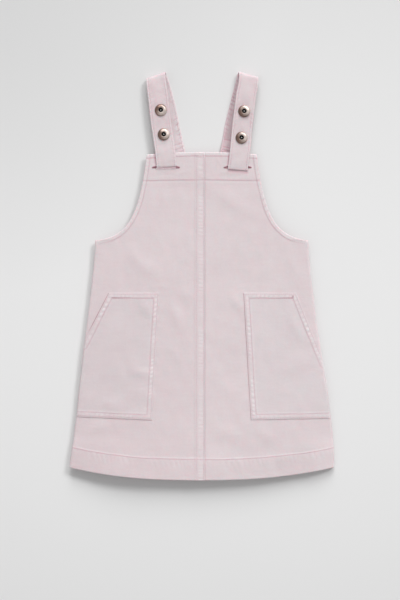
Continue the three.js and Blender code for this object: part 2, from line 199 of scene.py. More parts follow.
SLACK_LOOP = columns(
    "y z tilt",
    (456, 10.15, 5),
    (447, 10.0, 6),
    (440, 9.75, 5),
    (435.2, 9.55, 5),
    (432.9, 9.3, 4),
    (434.9, 9.0, 4),
    (437.6, 9.1, 3),
    (438.0, 7.5, 3),
    (438.0, 4.6, 2),
    (442, 4.2, 3),
    (449, 4.6, 4),
)
STRAP_TAIL = columns(
    "y z tilt",
    (461, 4.6, 6),
    (472, 3.8, 7),
    (484, 3.8, 7),
    (508, 3.8, 7),
    (530, 3.8, 7),
)
LINE_START = 440  # the front layers follow a line through line_out here, leaning out by slope
# foot_shade_rose and back_shade_rose are strengths of painted shade, below a strap's loop and on its back layer; the
# last number of each snap is the turn of its lit side
SIDES = (
    {"name": "left", "sign": -1, "back_shift": 0.0, "line_out": 49.6, "slope": 0.121, "loop": CLOSE_LOOP, "foot_shade_rose": 0.25,
     "snap_in": 1.7, "top_rise": 2.8, "top_tilt": 3.5, "back_shade_rose": 0.0, "snaps": (("upper", 517.7, -35), ("lower", 483.7, 10)), "tacks": (463.0, 469.0)},
    {"name": "right", "sign": 1, "back_shift": 1.8, "line_out": 51.6, "slope": 0.098, "loop": SLACK_LOOP, "foot_shade_rose": 0.6,
     "snap_in": -0.3, "top_rise": 4.1, "top_tilt": -1.5, "back_shade_rose": 0.2, "snaps": (("upper", 516.2, 25), ("lower", 479.1, 15)), "tacks": (461.0, 465.0, 475.5)},
)

# Press studs: radius and height from the middle outwards
CAP_BASE = 11.2
SOCKET_BASE = 8.9
STUD_BASE = 5.0
CAP_PROFILE = ((0, 2.0), (0.35, 1.95), (0.6, 1.7), (0.7, 1.2), (0.8, 0.9), (2.7, 0.8), (3.05, 1.0), (3.15, 1.7),
               (3.2, 2.4), (3.35, 2.75), (3.6, 2.95), (4.1, 3.0), (4.9, 2.88), (5.8, 2.58), (6.7, 2.12), (7.5, 1.6),
               (8.1, 1.0), (8.45, 0.5), (8.4, 0.08), (8.2, 0), (0, 0))
CAP_LIMITS = ((3.24, 0.7), (0.72, 1.15))  # inside these radii, above these heights, the recess, painted near-black for its shade, and the bright tip
SOCKET_PROFILE = ((0, 0.9), (2.7, 0.95), (2.9, 2.3), (3.3, 2.5), (3.8, 2.4), (4.1, 2.1), (5.6, 1.1), (6.1, 0.7),
                  (6.2, 0.1), (6.0, 0), (0, 0))
STUD_PROFILE = ((0, 2.5), (1.6, 2.42), (2.3, 2.15), (2.4, 1.8), (1.95, 1.2), (2.1, 0.85), (5.5, 0.75), (5.8, 0.4),
                (5.8, 0.1), (5.6, 0), (0, 0))

STITCH = {"pitch": 2.9, "length": 2.1, "radius": 0.21}

# Colours, sRGB
CLOTH_DEEP = (216, 202, 205)
CLOTH_LIGHT = (231, 222, 223)
CLOTH_FLECK = (204, 184, 190)
ROSE = (197, 146, 160)
DEEP_ROSE = (150, 76, 92)
PALE = (238, 231, 233)
THREAD = (226, 203, 209)
THREAD_SHADE = (205, 172, 181)
BAR_THREAD = (236, 226, 229)
# dark crimson of the buttonholes' ends: painted shade of the slits' open gaps
SLIT_SHADE_THREAD = (132, 56, 74)
NICKEL = (238, 226, 219)
NICKEL_WORN = (198, 178, 168)
# shaded side of the press studs' caps: painted shade, against a paler lit side
NICKEL_SHADED = (134, 108, 98)
TABLE = (234, 234, 234)
# painted light falloff: the table darkens to this grey away from a point right of middle, and to the corner grey at
# the upper left; this grey also tints faint random mottling
TABLE_EDGE = (217, 217, 217)
TABLE_CORNER_SHADE = (213, 213, 213)
WEAVE_SCALE = 370

# Sky light, and three soft lamps: strength, softness, height above the table and turn from +Y towards +X, in degrees
SKY = 0.38
LAMPS = (
    {"name": "right", "strength": 1.3, "softness": 17, "elevation": 36, "turn": 42},
    {"name": "top", "strength": 2.1, "softness": 32, "elevation": 26, "turn": 2},
    {"name": "fill", "strength": 0.36, "softness": 70, "elevation": 40, "turn": 222},
)
CAMERA = {"lens": 85.0, "sensor": 36.0, "view_height": 840.0, "x": -2.5, "y": 252.0, "focus": 10.0}

# What takes a point of the tables to the frame, in millimetres
OFFSET = np.array([CAD_LOW.x / MM + SIDE_SEAM["left"][0], CAD_LOW.y / MM, 0.0])


def smooth(low, high, value):
    t = np.clip((np.asarray(value, float) - low) / (high - low), 0, 1)
    return t * t * (3 - 2 * t)


def read(table, column, y):
    """A column of a table at y, on a smooth curve through the table's rows."""
    ys, values = table["y"], table[column]
    y = np.clip(np.asarray(y, float), ys[0], ys[-1])
    before = np.r_[0, np.arange(len(ys) - 1)]
    after = np.r_[np.arange(1, len(ys)), len(ys) - 1]
    slopes = (values[after] - values[before]) / (ys[after] - ys[before])
    i = np.clip(np.searchsorted(ys, y, side="right") - 1, 0, len(ys) - 2)
    span = ys[i + 1] - ys[i]
    t = (y - ys[i]) / span
    rise = values[i + 1] - values[i]
    m0, m1 = slopes[i] * span, slopes[i + 1] * span
    return values[i] + m0 * t + (3 * rise - 2 * m0 - m1) * t**2 + (m0 + m1 - 2 * rise) * t**3


def bezier(t, points):
    t = np.asarray(t, float)[..., None]
    a, b, c, d = (np.array(p, float) for p in points)
    return (1 - t) ** 3 * a + 3 * (1 - t) ** 2 * t * b + 3 * (1 - t) * t * t * c + t**3 * d


ARMHOLE = bezier(np.linspace(0, 1, 601), (UNDERARM, *ARMHOLE_PULL, BIB_CORNER))


def seam_half(y, side):
    """Half width of the dress at its side seams, where side is below 0 to the left."""
    return np.where(np.asarray(side) < 0, read(SIDE_SEAM, "left", y), read(SIDE_SEAM, "right", y))


def half_width(y, side):
    above = np.interp(y, ARMHOLE[:, 1], ARMHOLE[:, 0])
    return np.where(np.asarray(y) <= UNDERARM[1], seam_half(y, side), above)


def row_height(edge, x, half):
    """Height at x of the row of cloth that meets the outline at height edge."""
    hem = HEM_RISE * (1 - smooth(HEM_RISE, HEM_RISE + HEM_BLEND, edge))
    top = TOP_CROWN * smooth(BIB_CORNER[1] - TOP_BLEND, BIB_CORNER[1], edge)
    middle = edge - hem + top
    return middle + (edge - middle) * np.abs(x / half) ** HEM_CURVE


def folds(x, y):
    total = np.zeros(np.broadcast(x, y).shape)
    for fx, fy, length, width, turn, height in zip(*FOLDS.values()):
        c, s = math.cos(math.radians(turn)), math.sin(math.radians(turn))
        along = ((x - fx) * c + (y - fy) * s) / length
        across = ((y - fy) * c - (x - fx) * s) / width
        total += height * np.exp(-(along**2) - across**2)
    return total


def waves(x, y, seed, count, short, long, height):
    """Soft unevenness: a sum of plane waves in seeded directions."""
    rng = np.random.default_rng(seed)
    total = np.zeros(np.broadcast(x, y).shape)
    for _ in range(count):
        angle, phase = rng.uniform(0, math.tau, 2)
        step = math.tau / rng.uniform(short, long)
        total += np.sin((x * math.cos(angle) + y * math.sin(angle)) * step + phase)
    return total * height / math.sqrt(count)


def rope(along, across, pitch, seed):
    """The uneven little rungs that a shrunken seam shows, from -1 in their narrow gaps to 1."""
    rng = np.random.default_rng(seed)
    a, b, c, d, e = rng.uniform(0, math.tau, 5)
    drift = 1.7 * np.sin(along / 19 + a) + 1.2 * np.sin(along / 7.9 + b) + 0.5 * np.sin(along / 3.7 + e)
    depth = np.clip(0.55 + 0.35 * np.sin(along / 15.3 + c) + 0.25 * np.sin(along / 6.1 + d), 0.05, 1)
    rung = np.abs(np.sin(math.pi * (along + 0.3 * across) / pitch + drift / 2))
    return depth * (1 - 2 * (1 - rung) ** 1.3)


def wander(along, seed, size):
    """How far a hand-guided row strays from its line."""
    rng = np.random.default_rng(seed)
    a, b, c = rng.uniform(0, math.tau, 3)
    return size * (np.sin(along / 21 + a) + 0.6 * np.sin(along / 9.3 + b) + 0.35 * np.sin(along / 4.3 + c)) / 1.3


def bump(value, middle, width):
    return np.exp(-(((value - middle) / width) ** 2))


def distance_to(points, line):
    """Distance of each point from a polyline, and how far along it the nearest place is."""
    steps = line[1:] - line[:-1]
    lengths = np.hypot(*steps.T)
    start = np.r_[0, np.cumsum(lengths)[:-1]]
    best = np.full(len(points), 1e9)
    where = np.zeros(len(points))
    for a, step, length, s0 in zip(line[:-1], steps, lengths, start):
        if length < 1e-9:
            continue
        t = np.clip(((points - a) @ step) / length**2, 0, 1)
        gap = np.hypot(*(points - a - t[:, None] * step).T)
        nearer = gap < best
        best = np.where(nearer, gap, best)
        where = np.where(nearer, s0 + t * length, where)
    return best, where


# ---- meshes ----


def make_piece(name, points, faces, materials, values=None, face_material=None, node=None):
    """An object made from points in millimetres, which rides on the dress."""
    faces = [tuple(dict.fromkeys(face)) for face in np.asarray(faces).tolist()]
    keep = [len(face) > 2 for face in faces]
    mesh = bpy.data.meshes.new(name)
    mesh.from_pydata(((points + OFFSET) * MM).tolist(), [], [face for face, kept in zip(faces, keep) if kept])
    for key, data in (values or {}).items():
        layer = mesh.attributes.new(key, "FLOAT", "POINT")
        layer.data.foreach_set("value", np.asarray(data, np.float32).ravel())
    mesh.polygons.foreach_set("use_smooth", [True] * len(mesh.polygons))
    for material in materials:
        mesh.materials.append(material)
    if face_material is not None:
        mesh.polygons.foreach_set("material_index", np.asarray(face_material)[keep])
    mesh.update()
    piece = bpy.data.objects.new(name, mesh)
    bpy.context.scene.collection.objects.link(piece)
    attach(piece, "root")
    if node:
        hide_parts(*([node] if isinstance(node, str) else node))
    return piece


def wall(top, bottom, slit=None):
    """Points and faces of the closed wall between two grids, whose columns run to the right.

    slit is (row, first column, last column): the row and the next one coincide, except between those columns.
    """
    rows, cols = top.shape[:2]
    ids = np.arange(rows * cols).reshape(rows, cols)
    if slit:
        row, first, last = slit
        ids[row + 1, : first + 1] = ids[row, : first + 1]
        ids[row + 1, last:] = ids[row, last:]
    under = ids + rows * cols
    faces = []
    for grid, turned in ((ids, False), (under, True)):
        quads = np.stack([grid[:-1, :-1], grid[:-1, 1:], grid[1:, 1:], grid[1:, :-1]], axis=-1)
        keep = np.ones(rows - 1, bool)
        if slit:
            keep[slit[0]] = False
        quads = quads[keep].reshape(-1, 4)
        faces.append(quads[:, ::-1] if turned else quads)

    def side(line, below):
        faces.append(np.stack([line[:-1], below[:-1], below[1:], line[1:]], axis=-1))

    side(ids[0], under[0])
    side(ids[-1, ::-1], under[-1, ::-1])
    side(ids[::-1, 0], under[::-1, 0])
    side(ids[:, -1], under[:, -1])
    if slit:
        part = slice(first, last + 1)
        side(ids[row, part][::-1], under[row, part][::-1])
        side(ids[row + 1, part], under[row + 1, part])
    return np.concatenate([top.reshape(-1, 3), bottom.reshape(-1, 3)]), np.concatenate(faces)


def drop_unused(points, faces, values):
    """Removes the points that no face uses, as where a slit's two rows are one."""
    used = np.unique(faces)
    renumber = np.zeros(len(points), int)
    renumber[used] = np.arange(len(used))
    return points[used], renumber[faces], {key: data[used] for key, data in values.items()}


def clustered(base, clusters):
    """base, with denser values put in round some places: pairs of a place and steps from it."""
    base = np.asarray(base, float)
    for place, steps in clusters:
        low, high = place + min(steps) - 0.35, place + max(steps) + 0.35
        base = base[(base < low) | (base > high)]
    extra = [place + step for place, steps in clusters for step in steps]
    return np.sort(np.r_[base, extra])


def rounded(distance, radius, depth):
    """How far a face falls towards a rounded edge."""
    inside = np.clip(1 - distance / radius, 0, 1)
    return depth * (1 - np.sqrt(1 - inside**2 * 0.9999))


# ---- front and back ----


def side_lift(x, y):
    """How far the back curls up off the table towards a side seam."""
    inside = 1 - np.minimum((seam_half(y, x) - np.abs(x)) / SIDE_LIFT["width"], 1)
    return SIDE_LIFT["height"] * inside**2


def corner_drop(x, y):
    """Share of that lift which the hem's right corner doesn't have."""
    return 0.75 * (x > 0) * (1 - smooth(20, 120, y))


def front_height(x, y):
    half = seam_half(y, x)
    middle = read(FRONT_HEIGHT, "middle", y)
    side = read(FRONT_HEIGHT, "side", y)
    out = np.minimum(np.abs(x) / half, 1)
    inside = 1 - np.minimum((half - np.abs(x)) / SIDE_ROLL["width"], 1)
    crown = side + (middle - side) * (1 - out**CROWN_POWER)
    uneven = waves(x, y, 3, 12, 50, 130, 0.2) + waves(x, y, 4, 14, 13, 30, 0.09)
    lower = corner_drop(x, y) * side_lift(x, y)
    return crown - lower - SIDE_ROLL["depth"] * inside**2 + (folds(x, y) + uneven) * np.minimum(1, 4 * (1 - out))


def outline(side, step=2.0):
    """The lines of hem, side seam, armhole and top edge of one half of the front."""
    corner = half_width(HEM_RISE, side)
    x = np.linspace(-12, corner, 95)
    hem = np.c_[x, row_height(HEM_RISE, x, corner)]
    y = np.linspace(HEM_RISE, UNDERARM[1], 80)
    seam = np.c_[half_width(y, side), y]
    x = np.linspace(BIB_CORNER[0], -12, 34)
    top = np.c_[x, row_height(BIB_CORNER[1], x, BIB_CORNER[0])]
    lines = {"hem": hem, "seam": seam, "armhole": ARMHOLE[::6], "top": top}
    return {key: line * np.array([side, 1]) for key, line in lines.items()}


def outline_rows(step):
    """Heights on the outline where rows of points lie."""
    steps = np.hypot(*np.diff(ARMHOLE, axis=0).T)
    along = np.r_[0, np.cumsum(steps)]
    arm = np.interp(np.arange(0, along[-1], step), along, ARMHOLE[:, 1])
    return np.r_[np.arange(HEM_RISE, UNDERARM[1] - step / 2, step), arm]


def front_rows():
    near = (0.3, 0.7, 1.2, 1.8, 2.6, 3.6, 4.8)
    both = sorted([-v for v in near] + [0.0] + list(near))
    slit_near = (0.3, 0.8, 1.5, 2.4, 3.5, 4.8, 6.4)
    slit = sorted([-v for v in slit_near] + [0.0, 0.0] + list(slit_near))
    hem_edge = (0, 0.12, 0.35, 0.7, 1.2, 2.0, 3.0)
    top_edge = (-2.6, -1.8, -1.1, -0.6, -0.3, -0.12, 0)
    top_row = (-3.2, -2.1, -1.3, -0.7, -0.3, 0, 0.3, 0.7, 1.3, 2.1)
    places = [(HEM_RISE, hem_edge), (HEM_ROW, both), (FACING_ROW, both), (SLIT["row"], slit)]
    places += [(TOP_ROW, top_row), (BIB_CORNER[1], top_edge)]
    return clustered(outline_rows(2.0), places)


def front_columns(side, half):
    """x of each point of each row, from the centre seam outwards."""
    if side < 0:
        near = np.r_[SEAM["edge"] - 0.15, 3.95, 3.75, 3.4, np.arange(2.9, -11, -0.6)]
    else:
        near = -np.r_[SEAM["edge"] + 0.12, 4.4, 4.6, 5.0, 5.6, 6.4, 7.4, 8.6, 10.0]
    margin = np.array([7.6, 6.8, 6.2, 5.7, 5.3, 4.9, 4.3, 3.5, 2.7, 2.0, 1.4, 0.9, 0.5, 0.25, 0.1, 0.0])
    outer = half[:, None] - margin
    start = -near[-1]
    t = np.linspace(0, 1, 86)[1:-1]
    middle = start + (outer[:, :1] - start) * t
    inner = np.broadcast_to(-near, (len(half), len(near)))
    return side * np.concatenate([inner, middle, outer], axis=1)


def front_surface(x, y, edge, side):
    """Outer and inner height of a front panel, and how pale and how rosy its cloth is painted there; part of the rose
    is painted shade of the straps, the pockets' edges and the buttonhole.
    """
    flat = np.c_[x.ravel(), y.ravel()]
    lines = outline(side)
    near, along = {}, {}
    for key, line in lines.items():
        d, s = distance_to(flat, line)
        near[key], along[key] = d.reshape(x.shape), s.reshape(x.shape)
    opened = np.minimum(np.minimum(near["hem"], near["armhole"]), near["top"])
    base = front_height(x, y)
    turn = 1 - np.minimum(near["seam"] / SIDE_TURN["width"], 1)
    base = base - SIDE_TURN["depth"] * turn**2 * (y < UNDERARM[1] + 3)
    raise_ = np.zeros_like(x)
    pale = np.zeros_like(x)
    rose = np.zeros_like(x)

    # turned-up hem
    hem = edge + wander(x, 41, 0.35)
    in_hem = 1 - smooth(HEM_ROW + 0.5, HEM_ROW + 1.9, hem)
    raise_ += 0.28 * in_hem
    dimple = 0.8 + 0.2 * np.sin(math.tau * x / STITCH["pitch"])
    raise_ -= 0.14 * bump(hem, HEM_ROW, 0.6) * dimple
    hem_rope = rope(x, edge, 6.8, 11)
    hem_zone = smooth(HEM_ROW - 15, HEM_ROW - 4, hem) * (1 - smooth(HEM_ROW - 1.6, HEM_ROW - 0.4, hem))
    raise_ += 0.2 * hem_rope * hem_zone + 0.12 * rope(x, edge, 5.9, 12) * bump(hem, HEM_ROW + 3.2, 2.4)
    rose += 0.3 * bump(hem, HEM_ROW + 0.1, 0.75) + 0.1 * hem_zone * np.maximum(-hem_rope, 0)
    pale += 0.24 * bump(hem, HEM_ROW + 2.0, 0.8) + 0.16 * hem_zone * np.maximum(hem_rope, 0)

    # bib facing and top edge
    facing = edge + wander(x, 42, 0.25)
    in_facing = smooth(FACING_ROW - 1.4, FACING_ROW - 0.4, facing)
    raise_ -= 0.12 * (1 - in_facing) * smooth(UNDERARM[1], FACING_ROW - 30, edge)
    raise_ -= 0.08 * bump(facing, FACING_ROW, 0.6) * dimple
    raise_ += 0.07 * bump(facing, FACING_ROW - 3.0, 1.6)
    rose += 0.34 * bump(facing, FACING_ROW + 0.2, 0.8)
    pale += 0.18 * bump(facing, FACING_ROW - 2.6, 1.2)
    top = edge + wander(x, 43, 0.25)
    raise_ -= 0.12 * bump(top, TOP_ROW, 0.5) * dimple
    top_rope = rope(x, edge, 5.4, 13)
    raise_ += 0.12 * top_rope * smooth(TOP_ROW + 0.4, TOP_ROW + 2, top)
    rose += 0.4 * bump(top, TOP_ROW, 0.8)
    pale += (0.28 + 0.2 * top_rope) * smooth(TOP_ROW + 0.6, TOP_ROW + 2.6, top)

    # turned edge of bib and armhole
    arm, s = near["armhole"], along["armhole"]
    arm = arm + wander(s, 44 + (side > 0), 0.25)
    arm_rope = rope(s, arm, 7.0 if side > 0 else 5.8, 14 + (side > 0))
    roped = 0.2 if side > 0 else 0.1
    at_arm = smooth(UNDERARM[1] - 1, UNDERARM[1] + 1, y)
    in_band = (1 - smooth(BAND - 1.4, BAND - 0.3, arm)) * at_arm
    raise_ += 0.2 * (1 - smooth(BAND - 0.3, BAND + 0.9, arm)) * at_arm
    raise_ -= 0.12 * bump(arm, BAND, 0.55) * (0.8 + 0.2 * np.sin(math.tau * s / STITCH["pitch"])) * at_arm
    raise_ += roped * arm_rope * in_band * smooth(0, 1.2, arm)
    rose += 0.24 * bump(arm, BAND, 0.8) * at_arm + 0.16 * (1 - smooth(0, 1.2, arm)) * at_arm
    rose += 1.3 * roped * np.maximum(-arm_rope, 0) * in_band
    pale += (0.12 + roped * arm_rope) * in_band

    # lapped centre seam
    rung = rope(y, 0.4 * x, 5.3, 15)
    left_edge = SEAM["edge"] - SEAM["width"] + wander(y, 46, 0.3)
    band = smooth(left_edge - 2.2, left_edge + 1.2, x) * (x < SEAM["edge"])
    raise_ += 0.5 * SEAM["height"] * band
    for row, depth in zip(SEAM["rows"], (0.07, 0.05)):
        raise_ -= depth * bump(x, row, 0.6) * (0.8 + 0.2 * np.sin(math.tau * y / STITCH["pitch"]))
    between = smooth(-5.6, -3.2, x) * (1 - smooth(1.2, 2.2, x))
    raise_ += 0.24 * rung * between + 0.1 * rope(y, x, 5.3, 16) * bump(x, -8.5, 1.5)
    rose += 0.06 * bump(x, left_edge - 0.6, 1.1) + 0.04 * bump(x, SEAM["rows"][0], 0.7)
    rose += 0.16 * bump(x, SEAM["rows"][1] + 0.2, 0.7) + 0.16 * bump(x, SEAM["edge"] + 0.6, 1.0)
    rose += 0.16 * between * np.maximum(-rung, 0)
    pale += between * (0.04 + 0.4 * np.maximum(rung, 0)) + 0.35 * bump(x, SEAM["edge"] - 0.7, 0.7)

    # painted shade of the straps on the bib, and of the pockets' edges: rose put where their shadows fall
    for facts in SIDES:
        if facts["sign"] == side:
            lean = np.abs(x) - line_out(facts, y)
            foot = loop_foot(facts) - 0.09 * lean
            beneath = 1 - smooth(12.5, 16.0, np.abs(lean))
            # painted shade: rose on the bib just below a strap's loop, and along the strap's shaded side by the slit
            rose += facts["foot_shade_rose"] * bump(y, foot - 0.6, 1.3) * beneath
            raise_ += 0.3 * bump(y, foot - 1.5, 7.0) * beneath
            rose += 0.6 * bump(lean, -side * (STRAP["width"] / 2 + 0.6), 1.6) * smooth(SLIT["y"] - 3, SLIT["y"], y)
    rose += 0.2 * (1 - smooth(0.3, 1.0, under_pocket_edge(x, y, side)))
    raise_ += puckers(x, y, near, side)
    # painted shade: rose round the buttonhole's gap
    gap = np.abs(y - SLIT["y"])
    past = np.abs(np.abs(x) - SLIT["out"]) - SLIT["half_length"]
    rose += 0.3 * (1 - smooth(0.5, 2.0, gap)) * (1 - smooth(-1.0, 1.0, past))

    # worn folded edges
    pale += 0.06 * (1 - smooth(0.2, 1.6, opened))

    thick = CLOTH + TURNED * (1 - smooth(HEM_ROW, HEM_ROW + 1.8, edge)) + TURNED * in_facing
    outer = base + raise_
    inner = base + np.minimum(raise_, 0) - thick
    lap = np.where(side < 0, SEAM["edge"] - 0.15 - x, x - SEAM["edge"] - 0.12)
    outer -= rounded(opened, 1.1, 0.8) + rounded(near["seam"], 1.6, 0.8) * (y < UNDERARM[1] + 1)
    outer -= rounded(lap, 0.7, 0.22 if side < 0 else 0.02)
    inner += rounded(opened, 0.9, 0.55)
    return outer, inner, pale, rose


def deeper(x, y):
    """How much deeper the tone of the cloth grows towards the lower left of the front."""
    return 0.055 * (1 - smooth(-170, 50, x)) * (1 - smooth(40, 420, y)) + 0.03 * (1 - smooth(20, 60, y)) * (1 - smooth(-60, 40, x))


def loop_foot(facts):
    """Height of the lowest point of a strap's loop."""
    return facts["loop"]["y"].min() - 0.1


def drag_lines(along, away, seed, short=5.0, long=17.0):
    """Small ripples that run out of a shrunken seam into the cloth."""
    return waves(along + 0.25 * away, 0.15 * away, seed, 9, short, long, 1.0)


def puckers(x, y, near, side):
    """Ripples beside the seams of the front."""
    total = 0.07 * drag_lines(y, x, 71) * np.exp(-np.abs(x + 2.5) / 9.0)
    corners = pocket_corners(side) * [side, 1]
    flat = np.c_[x.ravel(), y.ravel()]
    for number, line in enumerate((corners[0:2], corners[2:4], corners[[4, 0]], corners[1:3])):
        away = distance_to(flat, line)[0].reshape(x.shape)
        total += 0.07 * drag_lines(y if number < 2 else x, away, 72 + number) * np.exp(-away / 9.0)
    total += 0.09 * drag_lines(y, near["seam"], 76) * np.exp(-near["seam"] / 10.0) * (y < UNDERARM[1])
    total += 0.05 * drag_lines(x + y, near["armhole"], 77) * np.exp(-near["armhole"] / 12.0)
    at_hem = np.abs(near["hem"] - 24)
    return total + 0.1 * drag_lines(x, near["hem"], 78, 15.0, 44.0) * np.exp(-((at_hem / 22.0) ** 2))


def pocket_corners(side):
    """Corners of a pocket, from the bottom of its inner edge to where its slanted mouth meets the side seam."""
    facts = POCKETS[side]
    foot = float(half_width(facts["end"], side)) - SEAM_INSET
    heel = float(half_width(facts["low"], side)) - SEAM_INSET
    return np.array([
        (facts["inner_low"], facts["low"]),
        (facts["inner_high"], facts["high"]),
        (facts["top_out"], facts["high"]),
        (foot, facts["end"]),
        (heel, facts["low"] + facts["outer_up"]),
    ])


def under_pocket_edge(x, y, side):
    """Distance from the edges of a pocket that lie in its own shade: those to the left and at the bottom."""
    base, top, shoulder, foot, heel = pocket_corners(side) * [side, 1]
    lines = [np.array([heel, base]), np.array([shoulder, foot] if side < 0 else [base, top])]
    flat = np.c_[x.ravel(), y.ravel()]
    return np.minimum(*(distance_to(flat, line)[0] for line in lines)).reshape(x.shape)


def open_slit(x, y, rows):
    """Moves the points round a buttonhole apart, and returns their y and the slit's row and columns."""
    row = np.flatnonzero(np.diff(rows) == 0)[0]
    out = np.abs(x[row]) - SLIT["out"]
    inside = np.flatnonzero(np.abs(out) < SLIT["half_length"])
    lens = 1 - np.minimum(np.abs(np.abs(x) - SLIT["out"]) / SLIT["half_length"], 1) ** SLIT["power"]
    away = y - y[row]
    upper = (np.arange(len(rows)) > row)[:, None]
    fade = 1 - smooth(0, SLIT["reach"], np.abs(away))
    y = y + np.where(upper, SLIT["up"], -SLIT["down"]) * lens * fade
    return y, (row, inside[0] - 1, inside[-1] + 1)


def by_slit(x, y):
    """How close a place on a hidden face is to a buttonhole, from 0 to 1."""
    return bump(y, SLIT["y"] + 1, 7.0) * (1 - smooth(0, 8, np.abs(np.abs(x) - SLIT["out"]) - SLIT["half_length"]))


def front_panel(side, name, materials):
    rows = front_rows()
    half = half_width(rows, side)
    x = front_columns(side, half)
    edge = np.broadcast_to(rows[:, None], x.shape)
    y = row_height(edge, x, half[:, None])
    outer, inner, pale, rose = front_surface(x, y, edge, side)
    y, slit = open_slit(x, y, rows)
    row, first, last = slit
    gap = np.abs(y - SLIT["y"])
    within = 1 - smooth(SLIT["half_length"] - 0.5, SLIT["half_length"] + 1.5, np.abs(np.abs(x) - SLIT["out"]))
    lip = within * (1 - smooth(2.5, 4.5, gap))
    outer = outer + 0.12 * lip
    top = np.stack([x, y, outer], axis=-1)
    bottom = np.stack([x, y, inner], axis=-1)
    # painted shade: deep crimson on the cloth at the buttonhole's ends, where the slit's gap is dark
    at_end = smooth(-7.0, -4.0, np.abs(np.abs(x) - SLIT["out"]) - SLIT["half_length"])
    deep = deeper(x, y) + 0.7 * within * at_end * (1 - smooth(0.5, 1.8, gap))
    values = {"pale": pale, "rose": rose, "deep": deep}
    if side < 0:
        top, bottom = top[:, ::-1], bottom[:, ::-1]
        values = {key: data[:, ::-1] for key, data in values.items()}
        last_column = x.shape[1] - 1
        slit = (row, last_column - last, last_column - first)
    points, faces = wall(top, bottom, slit)
    # painted shade: hidden faces near a buttonhole take deep crimson, as they lie in shade seen through the slit
    hidden = {"pale": 0.0 * x, "rose": 0.0 * x + 0.3, "deep": by_slit(x, y)}
    if side < 0:
        hidden = {key: data[:, ::-1] for key, data in hidden.items()}
    values = {key: np.r_[data.ravel(), hidden[key].ravel()] for key, data in values.items()}
    points, faces, values = drop_unused(points, faces, values)
    return make_piece(f"{name}_panel", points, faces, materials, values, node=name), top


def back_panel(materials):
    near = (0.3, 0.8, 1.5, 2.4, 3.6)
    both = sorted([-v for v in near] + [0.0] + list(near))
    places = [(HEM_RISE, (0, 0.15, 0.5, 1.0, 1.8)), (HEM_ROW, both)]
    places += [(FACING_ROW, both), (BIB_CORNER[1], (-6.4, -5.6, -5.0, -4.4, -2.6, -1.3, -0.6, -0.2, 0))]
    rows = clustered(outline_rows(2.8), places)
    blend = 1 - smooth(HEM_RISE, HEM_RISE + HEM_BLEND, rows)
    at_bib = smooth(UNDERARM[1] - 10, UNDERARM[1] + 25, rows)
    up = 2.0 * blend
    down = 5.0 * smooth(420, BIB_CORNER[1], rows)
    halves = {side: half_width(rows, side) - 3.0 * at_bib for side in (-1, 1)}
    margin = np.array([5.6, 4.6, 3.4, 2.4, 1.6, 1.0, 0.5, 0.2, 0.0])
    t = np.linspace(0, 1, 62)[:-1]
    left = -np.concatenate([(halves[-1][:, None] - 6.6) * t, halves[-1][:, None] - margin], axis=1)
    right = np.concatenate([(halves[1][:, None] - 6.6) * t, halves[1][:, None] - margin], axis=1)
    x = np.concatenate([left[:, :0:-1], right], axis=1)
    half = np.where(x < 0, halves[-1][:, None], halves[1][:, None])
    edge = np.broadcast_to(rows[:, None], x.shape)
    y = row_height(edge, x, half) + (up - down)[:, None]
    under = side_lift(x, y) * (1 - corner_drop(x, y))
    d_side = half - np.abs(x)
    skirt = edge <= UNDERARM[1]
    d_ends = np.minimum(y - y[:1], y[-1:] - y)
    d_open = np.minimum(d_ends, np.where(skirt, 99, d_side * 0.75))
    upper = under + CLOTH
    line = 0.25 * (bump(edge, HEM_ROW, 0.7) + bump(edge, FACING_ROW, 0.7))
    line = line + 0.22 * bump(d_side, BAND, 0.7) * (~skirt)
    lower = under + line + rounded(d_open, 1.0, 0.6) + rounded(d_side, 1.6, 0.8) * skirt
    upper = upper - rounded(d_open, 0.9, 0.55)
    upper = upper + 0.05 * waves(x, y, 8, 8, 30, 80, 1.0) * smooth(0, 30, d_side) * 0.5
    rose = 0.3 + 0.5 * (bump(edge, HEM_ROW, 0.8) + bump(edge, FACING_ROW, 0.8))
    pale = 0.4 * (1 - smooth(0.2, 1.6, d_open))
    top = np.stack([x, y, upper], axis=-1)
    bottom = np.stack([x, y, lower], axis=-1)
    points, faces = wall(top, bottom)
    values = {"pale": np.r_[pale.ravel(), pale.ravel()], "rose": np.r_[rose.ravel(), rose.ravel() * 0.5]}
    # painted shade: deep crimson on the back below the buttonholes, seen in shade through the slits
    values["deep"] = np.r_[by_slit(x, y).ravel(), np.zeros(x.size)]
    return make_piece("back_panel", points, faces, materials, values, node="back"), bottom


# ---- pockets ----


